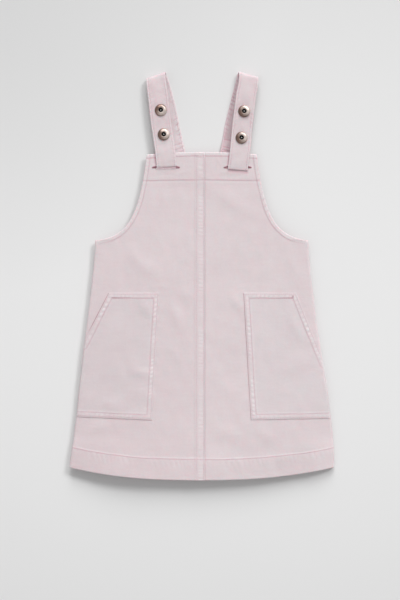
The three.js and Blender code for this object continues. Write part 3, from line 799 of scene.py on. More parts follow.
def pocket_panel(side, name, front_tree, materials):
    low, high, inner_low, inner_high, outer_up, top_out, end = (
        POCKETS[side][key] for key in ("low", "high", "inner_low", "inner_high", "outer_up", "top_out", "end"))
    ladder = (0, 0.1, 0.3, 0.6, 1.0, 1.35, 1.7, 2.05, 2.5, 3.2, 4.0, 4.8, 5.6, 6.3, 6.9, 7.4, 7.9, 8.5, 9.4)
    ladder = np.array(ladder)
    y0 = np.r_[low + ladder, np.linspace(low + 11, high - 11, 96), (high - ladder)[::-1]]
    t = (y0 - low) / (high - low)
    inner = inner_low + (inner_high - inner_low) * t
    foot = half_width(end, side) - SEAM_INSET
    mouth = (y0 - end) / (high - end)
    slant = foot + (top_out - foot) * mouth
    outer = np.where(mouth < 0, half_width(y0, side) - SEAM_INSET, slant)
    s = np.linspace(0, 1, 50)[1:-1]
    first = inner[:, None] + ladder
    last = outer[:, None] - ladder[::-1]
    middle = first[:, -1:] + (last[:, :1] - first[:, -1:]) * s
    x = np.concatenate([first, middle, last], axis=1)
    share = (x - inner[:, None]) / (outer - inner)[:, None]
    y = y0[:, None] + outer_up * (1 - t)[:, None] * share

    d_in = (x - inner[:, None]) * 0.998
    d_low = y - (low + outer_up * share)
    d_high = high - y
    run = np.array([[foot, end], [top_out, high]], float)
    run[0] -= (run[1] - run[0]) * 0.15
    d_slant = distance_to(np.c_[x.ravel(), y.ravel()], run)[0].reshape(x.shape)
    sewn = np.stack([d_in, d_low, d_high, d_slant])
    which = np.argmin(sewn, axis=0)
    d = sewn.min(axis=0)
    along = np.where((which == 0) | (which == 3), y, x + 400)
    rung = rope(along, d, 6.2, 21 + (side > 0)) * np.where(which == 1, 0.4, np.where(which == 2, 0.5, 1.0))
    between = smooth(2.0, 3.4, d) * (1 - smooth(5.6, 7.0, d))
    strayed = d + wander(along, 24 + (side > 0), 0.3)
    lift = 0.2 * (1 - smooth(7.6, 9.6, strayed))
    lift = lift - 0.08 * bump(d, POCKET_ROWS[0], 0.5) - 0.17 * bump(strayed, POCKET_ROWS[1], 0.6)
    lift = lift + 0.28 * rung * between
    gape = 0.25 * bump(d_slant, 0, 9) * bump(y, 225, 26)
    uneven = waves(side * x, y, 5 + (side > 0), 8, 28, 70, 0.13) * smooth(2, 16, d)
    z = np.empty_like(x)
    for index in np.ndindex(x.shape):
        hit = front_tree.ray_cast(Vector((side * x[index], y[index], 60)), Vector((0, 0, -1)))
        z[index] = hit[0].z if hit[0] else np.nan
    z = np.where(np.isnan(z), front_height(side * x, y), z)
    under = z + 0.05 + gape + np.maximum(uneven, 0)
    thick = 0.46 + lift + 0.08 * drag_lines(along, d, 27 + (side > 0)) * np.exp(-d / 11.0) * smooth(0, 6, d)
    upper = under + thick - rounded(d, 0.8, 0.26) - (0.06 + 0.12 * (which == 1)) * (1 - smooth(0, 4.0, d))
    d_seam = outer[:, None] - x
    upper = upper - rounded(d_seam, 1.6, 0.7) * (mouth[:, None] <= 0)
    lower = under + rounded(d, 0.7, 0.1)
    # painted shade: the pocket edges that face away from the lamps take rose and deep crimson as their shadow lines
    shaded = (which == 1) | (which == (3 if side < 0 else 0))
    at_top = np.where(which == 2, 1.0, 0.0)
    at_corner = at_top * np.exp(-np.abs(top_out - 6 - x) / 16)
    rose = 0.08 * bump(d, POCKET_ROWS[0], 0.6)
    rose = rose + (0.26 + 0.14 * at_top + 0.4 * at_corner) * bump(strayed, POCKET_ROWS[1], 0.75)
    rose = rose + 0.16 * between * np.maximum(-rung, 0) + 0.25 * shaded * (1 - smooth(0.1, 0.7, d))
    pale = (0.1 + 0.05 * at_top) * bump(d, 0.8, 0.8) + between * (0.06 + 0.55 * np.maximum(rung, 0))
    pale = pale + 0.14 * bump(d, 9.4, 1.0)
    top = np.stack([side * x, y, upper], axis=-1)
    bottom = np.stack([side * x, y, lower], axis=-1)
    edge_shade_tint = np.where(side < 0, 0.6 * (which == 3) * smooth(205, 220, y) + 0.08 * (which == 1), 0.45 * (which == 0))
    deep = deeper(side * x, y) + edge_shade_tint * (1 - smooth(0.1, 0.9, d)) + 0.4 * at_corner * bump(strayed, POCKET_ROWS[1], 0.7)
    data = {"pale": pale, "rose": rose, "deep": deep}
    if side < 0:
        top, bottom = top[:, ::-1], bottom[:, ::-1]
        data = {key: value[:, ::-1] for key, value in data.items()}
    points, faces = wall(top, bottom)
    values = {key: np.r_[value.ravel(), np.full(value.size, 0.1)] for key, value in data.items()}
    piece = make_piece(f"{name}_panel", points, faces, materials, values, node=name)
    return piece, top


# ---- straps ----


def spline(rows, steps):
    """A uniform cubic B-spline through rows of numbers, which starts and ends on the first and last row."""
    control = np.vstack([2 * rows[0] - rows[1], rows, 2 * rows[-1] - rows[-2]])
    t = np.arange(steps * (len(rows) - 1) + 1) / steps
    i = np.minimum(t.astype(int), len(rows) - 2)
    t = (t - i)[:, None]
    weights = ((1 - t) ** 3, 3 * t**3 - 6 * t**2 + 4, -3 * t**3 + 3 * t**2 + 3 * t + 1, t**3)
    return sum(w * control[i + k] for k, w in enumerate(weights)) / 6


def line_out(side, y):
    return side["line_out"] + (y - LINE_START) * side["slope"]


def strap_path(side, step):
    """Points down the middle of a strap, with the directions across it and out of its face."""
    back = np.stack([STRAP_RISE[key] for key in ("out", "y", "z", "tilt")], axis=1)
    back[:, 0] += side["back_shift"]
    parts = (STRAP_FALL, side["loop"], STRAP_TAIL)
    y, z, tilt = (np.concatenate([part[key] for part in parts]) for key in ("y", "z", "tilt"))
    front = np.stack([line_out(side, y), y, z, tilt], axis=1)
    rows = np.vstack([back, front])
    share = smooth(*SHOULDER, rows[:, 1])
    rows[:, 1] += share * side["top_rise"]
    rows[:, 3] += share * side["top_tilt"]
    fine = spline(rows, 40)
    along = np.r_[0, np.cumsum(np.linalg.norm(np.diff(fine[:, :3], axis=0), axis=1))]
    s = np.linspace(0, along[-1], int(along[-1] / step) + 1)
    path = np.stack([np.interp(s, along, column) for column in fine.T], axis=1)
    p = path[:, :3] * [side["sign"], 1, 1]
    p[:, 2] += np.interp(p[:, 2], *STRAP_SETTLE) * smooth(448, 462, p[:, 1])
    tangent = np.gradient(p, axis=0)
    tangent /= np.linalg.norm(tangent, axis=1)[:, None]
    tilt = np.radians(path[:, 3])
    across = np.stack([-side["sign"] * np.cos(tilt), np.sin(tilt), 0 * tilt], axis=1)
    normal = np.cross(tangent, across)
    normal /= np.linalg.norm(normal, axis=1)[:, None]
    return s, p, across, normal


def sway(along, seed):
    """How far a strap strays sideways from its line."""
    return 0.5 * np.sin(along / 31 + seed) + 0.3 * np.sin(along / 11.7 + 2 * seed)


def strap_panel(side, materials):
    s, p, across, normal = strap_path(side, 0.9)
    edge = np.array([0, 0.08, 0.25, 0.5, 0.9, 1.4, 1.9, 2.3, 2.6, 2.8, 3.0, 3.3, 3.8, 4.6, 6.0, 8.0, 10.0, 12.0])
    w = np.r_[STRAP["width"] / 2 - edge, 0, (edge - STRAP["width"] / 2)[::-1]]
    d = STRAP["width"] / 2 - np.abs(w)[None, :]
    along = np.broadcast_to(s[:, None], (len(s), len(w)))
    seed = 31 if side["sign"] < 0 else 34
    pitch = 6.3
    rungs = np.where(w[None, :] > 0, rope(along, d, pitch, seed), rope(along, d, pitch, seed + 1))
    zone = smooth(0.3, 1.0, d) * (1 - smooth(2.0, 2.8, d))
    ends = np.minimum(along, s[-1] - along)
    lift = 0.12 * rungs * zone + 0.1 * rungs * bump(d, 4.6, 1.6)
    lift = lift - 0.18 * bump(d, STRAP_ROW, 0.45) * (0.8 + 0.2 * np.sin(math.tau * along / STITCH["pitch"]))
    in_back = (np.arange(len(s)) < np.argmax(p[:, 1]))[:, None]
    low_front = (1 - in_back) * (1 - smooth(466, 500, p[:, 1]))[:, None]
    rows = [bump(p[:, 1], y, 0.7) for y in side["tacks"]]
    tacks = np.sum(rows, axis=0)[:, None] * in_back * smooth(1.5, 3, d)
    lift = lift - 0.25 * tacks
    crease = waves(0.7 * along, w[None, :] + 0 * along, seed + 2, 14, 8, 42, 1.0)
    wrinkle = 0.19 * crease * smooth(0, 3, d)
    peak = np.argmax(p[:, 1])
    from_foot = (s - s[peak + np.argmin(p[peak:, 1])])[:, None]
    half = STRAP["thick"] / 2 * (1 - 0.4 * bump(from_foot, 0, 7)) + lift - rounded(d, 0.9, 0.6) - rounded(ends, 0.9, 0.6)
    place = p[:, None, :] + across[:, None, :] * w[None, :, None]
    place[..., 0] += sway(along, seed)
    top = place + normal[:, None, :] * (half + wrinkle)[..., None]
    bottom = place - normal[:, None, :] * (half - wrinkle)[..., None]
    wide = smooth(0.2, 1.0, d) * (1 - smooth(4.5, 8.0, d))
    # painted shade: the back layer, lying in the front layer's shade, is made rosier
    rose = side["back_shade_rose"] * in_back + 0.1 * bump(d, STRAP_ROW, 0.6) + (0.15 + 0.5 * in_back) * wide * np.maximum(-rungs, 0)
    rose = rose + 0.5 * tacks + 0.14 * (1 - smooth(0, 0.8, d))
    rose = rose + 0.3 * bump(p[:, 1], p[:, 1].max(), 1.2)[:, None]
    # painted shade: rose on the strap's rolled foot at the loop
    rose = rose + 0.04 + 0.05 * crease * (1 - in_back) - 0.04 * low_front + 0.4 * bump(from_foot, 0, 2.2)
    pale = zone * (0.03 + 0.2 * np.maximum(rungs, 0)) + 0.2 * in_back * wide * np.maximum(rungs, 0)
    points, faces = wall(top, bottom)
    # painted light: the left strap's back layer is made paler to lift its shade
    pale = pale + 0.12 * low_front + 0.15 * in_back * (side["sign"] < 0)
    deep = np.broadcast_to(0.03 * (1 - in_back - low_front), rose.shape)
    values = {key: np.r_[data.ravel(), data.ravel()] for key, data in (("pale", pale), ("rose", rose), ("deep", deep))}
    name = f"strap_{side['name']}"
    return make_piece(f"{name}_band", points, faces, materials, values, node=name)


# ---- sewing ----

THREAD_STATIONS = np.array([0, 0.16, 0.5, 0.84, 1.0])
THREAD_RISE = np.array([-0.7, 0.35, 0.6, 0.35, -0.7])
THREAD_GIRTH = np.array([0.45, 0.95, 1.0, 0.95, 0.45])
THREAD_SIDES = 6


def thread_mesh(starts, ends, ups, radius):
    """Points and faces of many short lengths of thread, which sink into the cloth at both ends."""
    count, rings, sides = len(starts), len(THREAD_STATIONS), THREAD_SIDES
    run = ends - starts
    direction = run / np.linalg.norm(run, axis=1)[:, None]
    beside = np.cross(direction, ups)
    beside /= np.linalg.norm(beside, axis=1)[:, None]
    over = np.cross(beside, direction)
    centre = starts[:, None] + run[:, None] * THREAD_STATIONS[None, :, None]
    centre = centre + ups[:, None] * (THREAD_RISE * radius)[None, :, None]
    angle = np.arange(sides) * math.tau / sides
    ring = np.cos(angle)[:, None] * beside[:, None, None] + np.sin(angle)[:, None] * over[:, None, None]
    points = centre[:, :, None] + ring * (THREAD_GIRTH * radius)[None, :, None, None]
    base = (np.arange(count) * rings * sides)[:, None, None]
    a = base + (np.arange(rings - 1) * sides)[None, :, None] + np.arange(sides)
    b = base + (np.arange(rings - 1) * sides)[None, :, None] + (np.arange(sides) + 1) % sides
    quads = np.stack([a, b, b + sides, a + sides], axis=-1).reshape(-1, 4)
    first = base[:, 0, 0]
    caps = [[(5, 4, 3, 2), (5, 2, 1, 0)], [(0, 1, 2, 3), (0, 3, 4, 5)]]
    ends_faces = [np.stack([first + shift + i for i in cap], axis=-1)
                  for shift, pair in zip((0, (rings - 1) * sides), caps) for cap in pair]
    return points.reshape(-1, 3), np.concatenate([quads, *ends_faces])


def resampled(line, s):
    along = np.r_[0, np.cumsum(np.linalg.norm(np.diff(line, axis=0), axis=1))]
    return np.stack([np.interp(s, along, column) for column in line.T], axis=1), along[-1]


def stitches_on(tree, line):
    """Starts and ends of stitches along a line seen from above, laid on the surface of a tree."""
    line = np.asarray(line, float)
    pitch, length = STITCH["pitch"], STITCH["length"]
    total = np.linalg.norm(np.diff(line, axis=0), axis=1).sum()
    middles = np.arange(pitch * 0.7, total - pitch * 0.5, pitch)
    a, b = (resampled(line, middles + shift)[0] for shift in (-length / 2, length / 2))
    starts, ends = [], []
    for p, q in zip(a, b):
        hits = [tree.ray_cast(Vector((x, y, 60)), Vector((0, 0, -1)))[0] for x, y in (p, q)]
        if None not in hits:
            starts.append(hits[0])
            ends.append(hits[1])
    return np.array(starts), np.array(ends)


def sew(name, runs, materials, radius=STITCH["radius"]):
    starts = np.concatenate([run[0] for run in runs])
    ends = np.concatenate([run[1] for run in runs])
    ups = [run[2] if len(run) > 2 else np.tile((0.0, 0.0, 1.0), (len(run[0]), 1)) for run in runs]
    points, faces = thread_mesh(starts, ends, np.concatenate(ups), radius)
    return make_piece(name, points, faces, materials)


def offset_line(line, distance):
    """A line moved sideways, to the left of its direction."""
    tangent = np.gradient(line, axis=0)
    tangent /= np.linalg.norm(tangent, axis=1)[:, None]
    return line + distance * np.stack([-tangent[:, 1], tangent[:, 0]], axis=1)


def row_line(edge, side, inner, inset=0.0):
    """The row of cloth at outline height edge, from x = inner to its outer end."""
    half = float(half_width(edge, side))
    x = np.linspace(inner, half - inset, 120)
    return np.stack([side * x, row_height(edge, x, half)], axis=1)


def front_sewing(side, name, tree, materials):
    edge_x = SEAM["edge"] if side > 0 else -SEAM["edge"]
    inner = edge_x + 0.8 if side > 0 else edge_x + 0.6
    runs = [stitches_on(tree, row_line(row, side, inner, inset))
            for row, inset in ((HEM_ROW, 0.5), (FACING_ROW, BAND + 0.6), (TOP_ROW, BAND + 0.6))]
    arm = offset_line(ARMHOLE[::4], BAND)[3:-1] * [side, 1]
    runs.append(stitches_on(tree, arm))
    if side < 0:
        top = BIB_CORNER[1] + TOP_CROWN - 0.8
        runs += [stitches_on(tree, [(x, 0.8), (x, top)]) for x in SEAM["rows"]]
    return sew(name, runs, materials)


def pocket_sewing(side, name, tree, materials):
    facts = POCKETS[side]
    low, high, up, end, top_out = (facts[key] for key in ("low", "high", "outer_up", "end", "top_out"))
    foot = float(half_width(end, side)) - SEAM_INSET
    outer_low = float(half_width(low, side)) - SEAM_INSET
    runs = []
    for inset in POCKET_ROWS:
        corner = [facts["inner_high"] + inset * 1.06, high - inset]
        shoulder = [top_out - inset * 0.61, high - inset]
        mouth = [foot + 1 - inset * 1.1, end - 3]
        base = [facts["inner_low"] + inset * 0.94, low + inset]
        heel = [outer_low - 1, low + up + inset]
        path = [heel, base, corner, shoulder, mouth]
        for a, b in zip(path[:-1], path[1:]):
            line = np.linspace(a, b, 60) * [side, 1]
            runs.append(stitches_on(tree, line))
    if side > 0:
        runs.append(bartack(tree, (top_out - 4.5, high - 3.6), side))
    return sew(name, runs, materials)


def bartack(tree, place, side):
    """A small triangle of close stitches, at the pocket's outer corner."""
    x, y = place
    starts, ends = [], []
    for i in range(8):
        width = 3.4 - 0.36 * i
        for sign, out in ((-1, starts), (1, ends)):
            at = (side * (x + sign * width / 2 + 0.1 * i), y - 0.45 * i)
            out.append(tree.ray_cast(Vector((*at, 60)), Vector((0, 0, -1)))[0])
    return np.array(starts), np.array(ends)


def strap_sewing(side, materials):
    s, p, across, normal = strap_path(side, 0.3)
    pitch, length = STITCH["pitch"], STITCH["length"]
    runs = []
    for edge in (-1, 1):
        for face in (-1, 1):
            w = edge * (STRAP["width"] / 2 - STRAP_ROW)
            line = p + across * w + normal * face * (STRAP["thick"] / 2 - 0.14)
            line[:, 0] += sway(s, 31 if side["sign"] < 0 else 34)
            middles = np.arange(4, s[-1] - 3, pitch)
            a, b, up = (np.stack([np.interp(at, s, column) for column in data.T], axis=1)
                        for at, data in ((middles - length / 2, line), (middles + length / 2, line),
                                         (middles, normal * face)))
            runs.append((a, b, up))
    return sew(f"strap_{side['name']}_stitches", runs, materials)


def buttonhole(side, name, tree, materials):
    """Close stitches all round a buttonhole, across its lip, and its ends in the second material, a dark crimson that
    paints the shade of the slit's open ends.
    """
    out, y0 = SLIT["out"], SLIT["y"]
    x = np.arange(-SLIT["half_length"] + 0.2, SLIT["half_length"], 0.46)
    lens = 1 - np.abs(x / SLIT["half_length"]) ** SLIT["power"]
    rng = np.random.default_rng(51 + side)
    starts, ends, places = [], [], []
    for sign, opened in ((-1, SLIT["down"]), (1, SLIT["up"])):
        for at, h in zip(x, opened * lens):
            reach = SLIT["lip"] * (1 - 0.6 * smooth(13.5, 15.0, abs(at))) + rng.uniform(-0.12, 0.12)
            a = (side * (out + at), y0 + sign * (h - 0.05))
            b = (side * (out + at), y0 + sign * (h + reach))
            ends_at = [tree.ray_cast(Vector((*q, 60)), Vector((0, 0, -1)))[0] for q in (b, b)]
            if ends_at[0] is None:
                continue
            starts.append((a[0], a[1], ends_at[0].z + 0.12))
            ends.append(ends_at[0])
            places.append(abs(at))
    for sign in (-1, 1):
        for turn in np.linspace(-70, 70, 9):
            c, s = math.cos(math.radians(turn)), math.sin(math.radians(turn))
            base = out + sign * (SLIT["half_length"] - 0.2)
            a = (side * base, y0)
            b = (side * (base + sign * c * 1.3), y0 + s * 0.8)
            hit = tree.ray_cast(Vector((*b, 60)), Vector((0, 0, -1)))[0]
            starts.append((a[0], a[1], hit.z + 0.15))
            ends.append(hit)
            places.append(SLIT["half_length"])
    # the end stitches take the crimson thread, painted shade of the slit's open ends
    starts, ends, shade_and_wear = np.array(starts), np.array(ends), np.array(places) > 14.2
    return [sew(f"{name}{part}", [(starts[kept], ends[kept])], [material], radius=0.3)
            for part, kept, material in (("", ~shade_and_wear, materials[0]), ("_ends", shade_and_wear, materials[1]))]


# ---- press studs ----


def turned(profile, steps=48, dents=0.0, seed=0):
    """Points and faces of a round piece with the profile (radius, height), with soft dents in its ring."""
    profile = np.array(profile, float)
    angle = np.arange(steps) * math.tau / steps
    radius, height = profile.T
    rng = np.random.default_rng(seed)
    phase = rng.uniform(0, math.tau, 3)
    uneven = np.sin(5 * angle + phase[0]) * 0.6 + np.sin(3 * angle + phase[1]) * 0.5 + np.sin(angle + phase[2])
    z = height[:, None] + dents * uneven * bump(radius, 5.8, 1.9)[:, None]
    points = np.stack([radius[:, None] * np.cos(angle), radius[:, None] * np.sin(angle), z], axis=-1)
    ids = np.arange(z.size).reshape(z.shape)
    ids[radius == 0] = ids[radius == 0][:, :1]
    after = np.roll(ids, -1, axis=1)
    quads = np.stack([ids[:-1], ids[1:], after[1:], after[:-1]], axis=-1).reshape(-1, 4)
    points, quads, _ = drop_unused(points.reshape(-1, 3), quads, {})
    return points, quads


def round_piece(name, profile, place, turn_over, materials, limits=(), dents=0.0, seed=0, node=None, bright=0.0):
    """A lathe piece whose faces inside each radius limit take the next material, with painted shade on the side away
    from its bright turn and on its outer rim.
    """
    points, faces = turned(profile, dents=dents, seed=seed)
    middles = np.hypot(points[faces][:, :, 0].mean(1), points[faces][:, :, 1].mean(1))
    height = points[faces][:, :, 2].mean(1)
    index = np.zeros(len(faces), int)
    for number, (radius, floor) in enumerate(limits, 1):
        index[(middles < radius) & (height > floor)] = number
    if turn_over:
        points = points * [1, 1, -1]
        faces = faces[:, ::-1]
    # painted light and shade: shaded_side grows away from the bright turn and towards the outer rim
    lean = np.radians(bright)
    across = points[:, 0] * np.cos(lean) + points[:, 1] * np.sin(lean)
    rim = 0.6 * smooth(6.6, 8.0, np.hypot(points[:, 0], points[:, 1]))
    values = {"shaded_side": np.clip(0.45 - across / 9.0 + rim, 0, 1)}
    points = points + np.array(place)
    return make_piece(name, points, faces, materials, values, index, node)


def press_studs(side, metals):
    made = []
    for number, (key, y, bright) in enumerate(side["snaps"]):
        x = side["sign"] * (line_out(side, y) - side["snap_in"])
        name = f"{side['name']}_{key}"
        seed = 60 + number + (5 if side["sign"] > 0 else 0)
        made.append(round_piece(f"cap_{name}", CAP_PROFILE, (x, y, CAP_BASE), False,
                                metals, CAP_LIMITS, 0.26, seed, f"snap_cap_{name}", bright))
        made.append(round_piece(f"socket_{name}", SOCKET_PROFILE, (x, y, SOCKET_BASE), True,
                                metals[:1], node=f"snap_socket_{name}"))
        made.append(round_piece(f"stud_{name}", STUD_PROFILE, (x, y, STUD_BASE), False,
                                metals[:1], node=f"snap_stud_{name}"))
    return made


# ---- materials ----


class Nodes:
    """A small helper that builds a shader's node tree."""

    def __init__(self, name):
        self.material = bpy.data.materials.new(name)
        self.material.use_nodes = True
        self.tree = self.material.node_tree
        self.shader = self.tree.nodes["Principled BSDF"]

    def add(self, kind, **values):
        node = self.tree.nodes.new(kind)
        for key, value in values.items():
            if hasattr(node, key):
                setattr(node, key, value)
            else:
                node.inputs[key.replace("_", " ")].default_value = value
        return node

    def link(self, source, target):
        self.tree.links.new(source, target)

    def math(self, operation, a, b):
        node = self.add("ShaderNodeMath", operation=operation)
        for socket, value in zip(node.inputs, (a, b)):
            if isinstance(value, (int, float)):
                socket.default_value = value
            else:
                self.link(value, socket)
        return node.outputs[0]

    def mix(self, factor, a, b):
        node = self.add("ShaderNodeMix", data_type="RGBA")
        for socket, value in zip((node.inputs[0], node.inputs[6], node.inputs[7]), (factor, a, b)):
            if isinstance(value, (int, float, tuple)):
                socket.default_value = value
            else:
                self.link(value, socket)
        return node.outputs[2]

    def noise(self, scale, detail=2.0, roughness=0.5, stretch=None):
        node = self.add("ShaderNodeTexNoise", Scale=scale, Detail=detail, Roughness=roughness)
        coordinates = self.add("ShaderNodeTexCoord").outputs["Object"]
        if stretch:
            mapping = self.add("ShaderNodeMapping")
            mapping.inputs["Scale"].default_value = stretch
            self.link(coordinates, mapping.inputs["Vector"])
            coordinates = mapping.outputs["Vector"]
        self.link(coordinates, node.inputs["Vector"])
        return node.outputs[0]

    def bands(self, scale, turn):
        node = self.add("ShaderNodeTexWave", Scale=scale, Distortion=0.6, Detail=1.0)
        node.inputs["Detail Scale"].default_value = 1.2
        mapping = self.add("ShaderNodeMapping")
        mapping.inputs["Rotation"].default_value = (0, 0, math.radians(turn))
        self.link(self.add("ShaderNodeTexCoord").outputs["Object"], mapping.inputs["Vector"])
        self.link(mapping.outputs["Vector"], node.inputs["Vector"])
        return node.outputs["Fac"]

    def bump(self, height, distance, strength=1.0, normal=None):
        node = self.add("ShaderNodeBump", Strength=strength, Distance=distance)
        self.link(height, node.inputs["Height"])
        if normal is not None:
            self.link(normal, node.inputs["Normal"])
        return node.outputs[0]


def colour(red, green, blue):
    """An sRGB colour, 0 to 255, as a linear one."""
    def linear(v):
        v /= 255
        return v / 12.92 if v <= 0.04045 else ((v + 0.055) / 1.055) ** 2.4
    return (linear(red), linear(green), linear(blue), 1.0)


def twill():
    n = Nodes("washed_twill")
    patches = n.math("MULTIPLY", n.noise(16, 3, 0.6), 0.5)
    weft = n.math("MULTIPLY", n.noise(45, 3, 0.6, stretch=(1, 6, 1)), 0.35)
    warp = n.math("MULTIPLY", n.noise(40, 2, 0.6, stretch=(6, 1, 1)), 0.15)
    base = n.mix(n.math("ADD", n.math("ADD", patches, weft), warp), colour(*CLOTH_DEEP), colour(*CLOTH_LIGHT))
    speckle = n.math("MULTIPLY", n.noise(420, 2, 0.6), 0.3)
    base = n.mix(speckle, base, colour(*CLOTH_FLECK))
    rose = n.add("ShaderNodeAttribute", attribute_name="rose").outputs["Fac"]
    pale = n.add("ShaderNodeAttribute", attribute_name="pale").outputs["Fac"]
    # rose and pale vary in patches; rose carries the dyed seam lines and also painted shade of straps, pocket edges
    # and slits
    shade_and_wear = n.math("ADD", n.math("MULTIPLY", n.noise(140, 2, 0.6), 0.7), 0.65)
    rose = n.math("MINIMUM", n.math("MULTIPLY", rose, shade_and_wear), 1.0)
    pale = n.math("MINIMUM", n.math("MULTIPLY", pale, shade_and_wear), 1.0)
    base = n.mix(rose, base, colour(*ROSE))
    # deep carries painted shade in and at the slits' ends and at shaded pocket edges, besides a deeper tone towards
    # the lower left, on the lower straps and at a pocket's corner stitching
    base = n.mix(n.add("ShaderNodeAttribute", attribute_name="deep").outputs["Fac"], base, colour(*DEEP_ROSE))
    base = n.mix(pale, base, colour(*PALE))
    n.link(base, n.shader.inputs["Base Color"])
    weave = n.bands(WEAVE_SCALE, 52)
    normal = n.bump(weave, 0.00004)
    normal = n.bump(n.noise(700, 2, 0.6), 0.00005, normal=normal)
    normal = n.bump(n.noise(60, 3, 0.55), 0.00035, normal=normal)
    n.link(normal, n.shader.inputs["Normal"])
    n.shader.inputs["Roughness"].default_value = 0.9
    n.shader.inputs["Specular IOR Level"].default_value = 0.18
    n.shader.inputs["Sheen Weight"].default_value = 0.12
    n.shader.inputs["Sheen Roughness"].default_value = 0.6
    n.shader.inputs["Subsurface Weight"].default_value = 0.35
    n.shader.inputs["Subsurface Radius"].default_value = (1.0, 0.42, 0.5)
    n.shader.inputs["Subsurface Scale"].default_value = 0.0011
    return n.material


def cotton_thread(name, tint):
    n = Nodes(name)
    n.link(n.mix(n.noise(900, 1), colour(*tint), colour(*THREAD_SHADE)), n.shader.inputs["Base Color"])
    n.link(n.bump(n.bands(1400, 30), 0.00003), n.shader.inputs["Normal"])
    n.shader.inputs["Roughness"].default_value = 0.75
    n.shader.inputs["Specular IOR Level"].default_value = 0.25
    return n.material


def nickel():
    n = Nodes("warm_nickel")
    # painted shade: a cap's shaded side is darker and more metallic, its lit side paler
    shaded_side = n.add("ShaderNodeAttribute", attribute_name="shaded_side").outputs["Fac"]
    base = n.mix(n.noise(220, 3, 0.6), colour(*NICKEL), colour(*NICKEL_WORN))
    n.link(n.mix(shaded_side, base, colour(*NICKEL_SHADED)), n.shader.inputs["Base Color"])
    rough = n.math("ADD", n.math("MULTIPLY", n.noise(500, 2), 0.12), 0.36)
    n.link(rough, n.shader.inputs["Roughness"])
    n.link(n.bump(n.noise(260, 2), 0.00006), n.shader.inputs["Normal"])
    n.link(n.math("ADD", n.math("MULTIPLY", shaded_side, 0.4), 0.35), n.shader.inputs["Metallic"])
    return n.material


def plain(name, tint, roughness, metallic=0.0):
    n = Nodes(name)
    n.link(n.mix(n.noise(300, 2), colour(*tint), colour(*(0.85 * v for v in tint))), n.shader.inputs["Base Color"])
    n.shader.inputs["Roughness"].default_value = roughness
    n.shader.inputs["Metallic"].default_value = metallic
    return n.material


def table_top():
    n = Nodes("pale_table")
    # painted light falloff: darker away from a point right of middle, and darker still towards the upper left corner;
    # then faint random mottling
    centre = n.add("ShaderNodeMapping")
    centre.inputs["Location"].default_value = (-0.15, 0.0, 0)
    centre.inputs["Scale"].default_value = (1.0, 1.75, 0)
    n.link(n.add("ShaderNodeTexCoord").outputs["Object"], centre.inputs["Vector"])
    away = n.add("ShaderNodeVectorMath", operation="LENGTH")
    n.link(centre.outputs["Vector"], away.inputs[0])
    share = n.math("POWER", away.outputs["Value"], 2.0)
    base = n.mix(n.math("MINIMUM", share, 1.0), colour(*TABLE), colour(*TABLE_EDGE))
    corner = n.add("ShaderNodeVectorMath", operation="DISTANCE")
    n.link(n.add("ShaderNodeTexCoord").outputs["Object"], corner.inputs[0])
    corner.inputs[1].default_value = (-0.36, 0.42, 0.0)
    near = n.math("MAXIMUM", n.math("SUBTRACT", 1.0, n.math("MULTIPLY", corner.outputs["Value"], 2.2)), 0.0)
    base = n.mix(near, base, colour(*TABLE_CORNER_SHADE))
    base = n.mix(n.math("MULTIPLY", n.noise(9, 2), 0.1), base, colour(*TABLE_EDGE))
    n.link(base, n.shader.inputs["Base Color"])
    n.link(n.bump(n.noise(500, 2), 0.00003), n.shader.inputs["Normal"])
    n.shader.inputs["Roughness"].default_value = 0.85
    n.shader.inputs["Specular IOR Level"].default_value = 0.2
    return n.material


# ---- scene ----


def grid_tree(grid):
    rows, cols = grid.shape[:2]
    ids = np.arange(rows * cols).reshape(rows, cols)
    quads = np.stack([ids[:-1, :-1], ids[:-1, 1:], ids[1:, 1:], ids[1:, :-1]], axis=-1).reshape(-1, 4)
    return BVHTree.FromPolygons(grid.reshape(-1, 3).tolist(), quads.tolist())


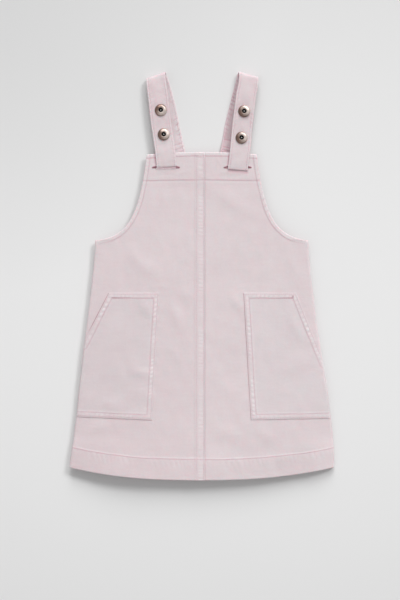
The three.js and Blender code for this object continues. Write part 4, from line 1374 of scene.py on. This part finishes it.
def make_dress():
    cloth, thread, bar = twill(), cotton_thread("rose_thread", THREAD), cotton_thread("pale_thread", BAR_THREAD)
    # crimson thread for the buttonholes' ends, painted shade of the slits
    shade_and_wear = cotton_thread("crimson_thread", SLIT_SHADE_THREAD)
    # the recess is painted near-black as its shade; the tip is a pale metal
    metals = [nickel(), plain("recess_shade_black", (6, 5, 5), 0.8), plain("bright_tip", (246, 244, 242), 0.5, 0.6)]
    fronts, pockets, straps, metal = {}, {}, {}, []
    for side in SIDES:
        sign, name = side["sign"], side["name"]
        fronts[name], grid = front_panel(sign, f"front_{name}", [cloth])
        tree = grid_tree(grid)
        sewing = [front_sewing(sign, f"front_{name}_stitches", tree, [thread])]
        sewing += buttonhole(sign, f"buttonhole_{name}", tree, [bar, shade_and_wear])
        pockets[name], grid = pocket_panel(sign, f"pocket_{name}", tree, [cloth])
        pocket_stitches = pocket_sewing(sign, f"pocket_{name}_stitches", grid_tree(grid), [thread])
        straps[name] = strap_panel(side, [cloth])
        strap_stitches = strap_sewing(side, [thread])
        metal += press_studs(side, metals)
    back, under = back_panel([cloth])
    return back


def make_stage():
    mesh = bpy.data.meshes.new("table")
    reach = 4.0
    corners = [(-reach, -reach, 0), (reach, -reach, 0), (reach, reach, 0), (-reach, reach, 0)]
    mesh.from_pydata(corners, [], [(0, 1, 2, 3)])
    mesh.materials.append(table_top())
    table = bpy.data.objects.new("table", mesh)
    bpy.context.scene.collection.objects.link(table)


def make_light():
    world = bpy.data.worlds.new("studio")
    world.use_nodes = True
    world.node_tree.nodes["Background"].inputs["Color"].default_value = (1.0, 1.0, 1.0, 1.0)
    world.node_tree.nodes["Background"].inputs["Strength"].default_value = SKY
    bpy.context.scene.world = world
    for facts in LAMPS:
        lamp = bpy.data.lights.new(facts["name"], "SUN")
        lamp.energy = facts["strength"]
        lamp.angle = math.radians(facts["softness"])
        up, turn = math.radians(facts["elevation"]), math.radians(facts["turn"])
        towards = Vector((math.cos(up) * math.sin(turn), math.cos(up) * math.cos(turn), math.sin(up)))
        holder = bpy.data.objects.new(facts["name"], lamp)
        holder.rotation_euler = towards.to_track_quat("Z", "Y").to_euler()
        holder.location = towards * 3
        bpy.context.scene.collection.objects.link(holder)


def make_camera():
    camera = bpy.data.cameras.new("camera")
    camera.lens = CAMERA["lens"]
    camera.sensor_width = CAMERA["sensor"]
    camera.dof.use_dof = False
    eye = bpy.data.objects.new("camera", camera)
    distance = CAMERA["view_height"] * CAMERA["lens"] / CAMERA["sensor"]
    place = np.array([CAMERA["x"], CAMERA["y"], distance + CAMERA["focus"]]) + OFFSET
    eye.location = place * MM
    bpy.context.scene.collection.objects.link(eye)
    bpy.context.scene.camera = eye


make_stage()
make_light()
make_camera()
make_dress()
bpy.context.scene.view_settings.view_transform = "Standard"
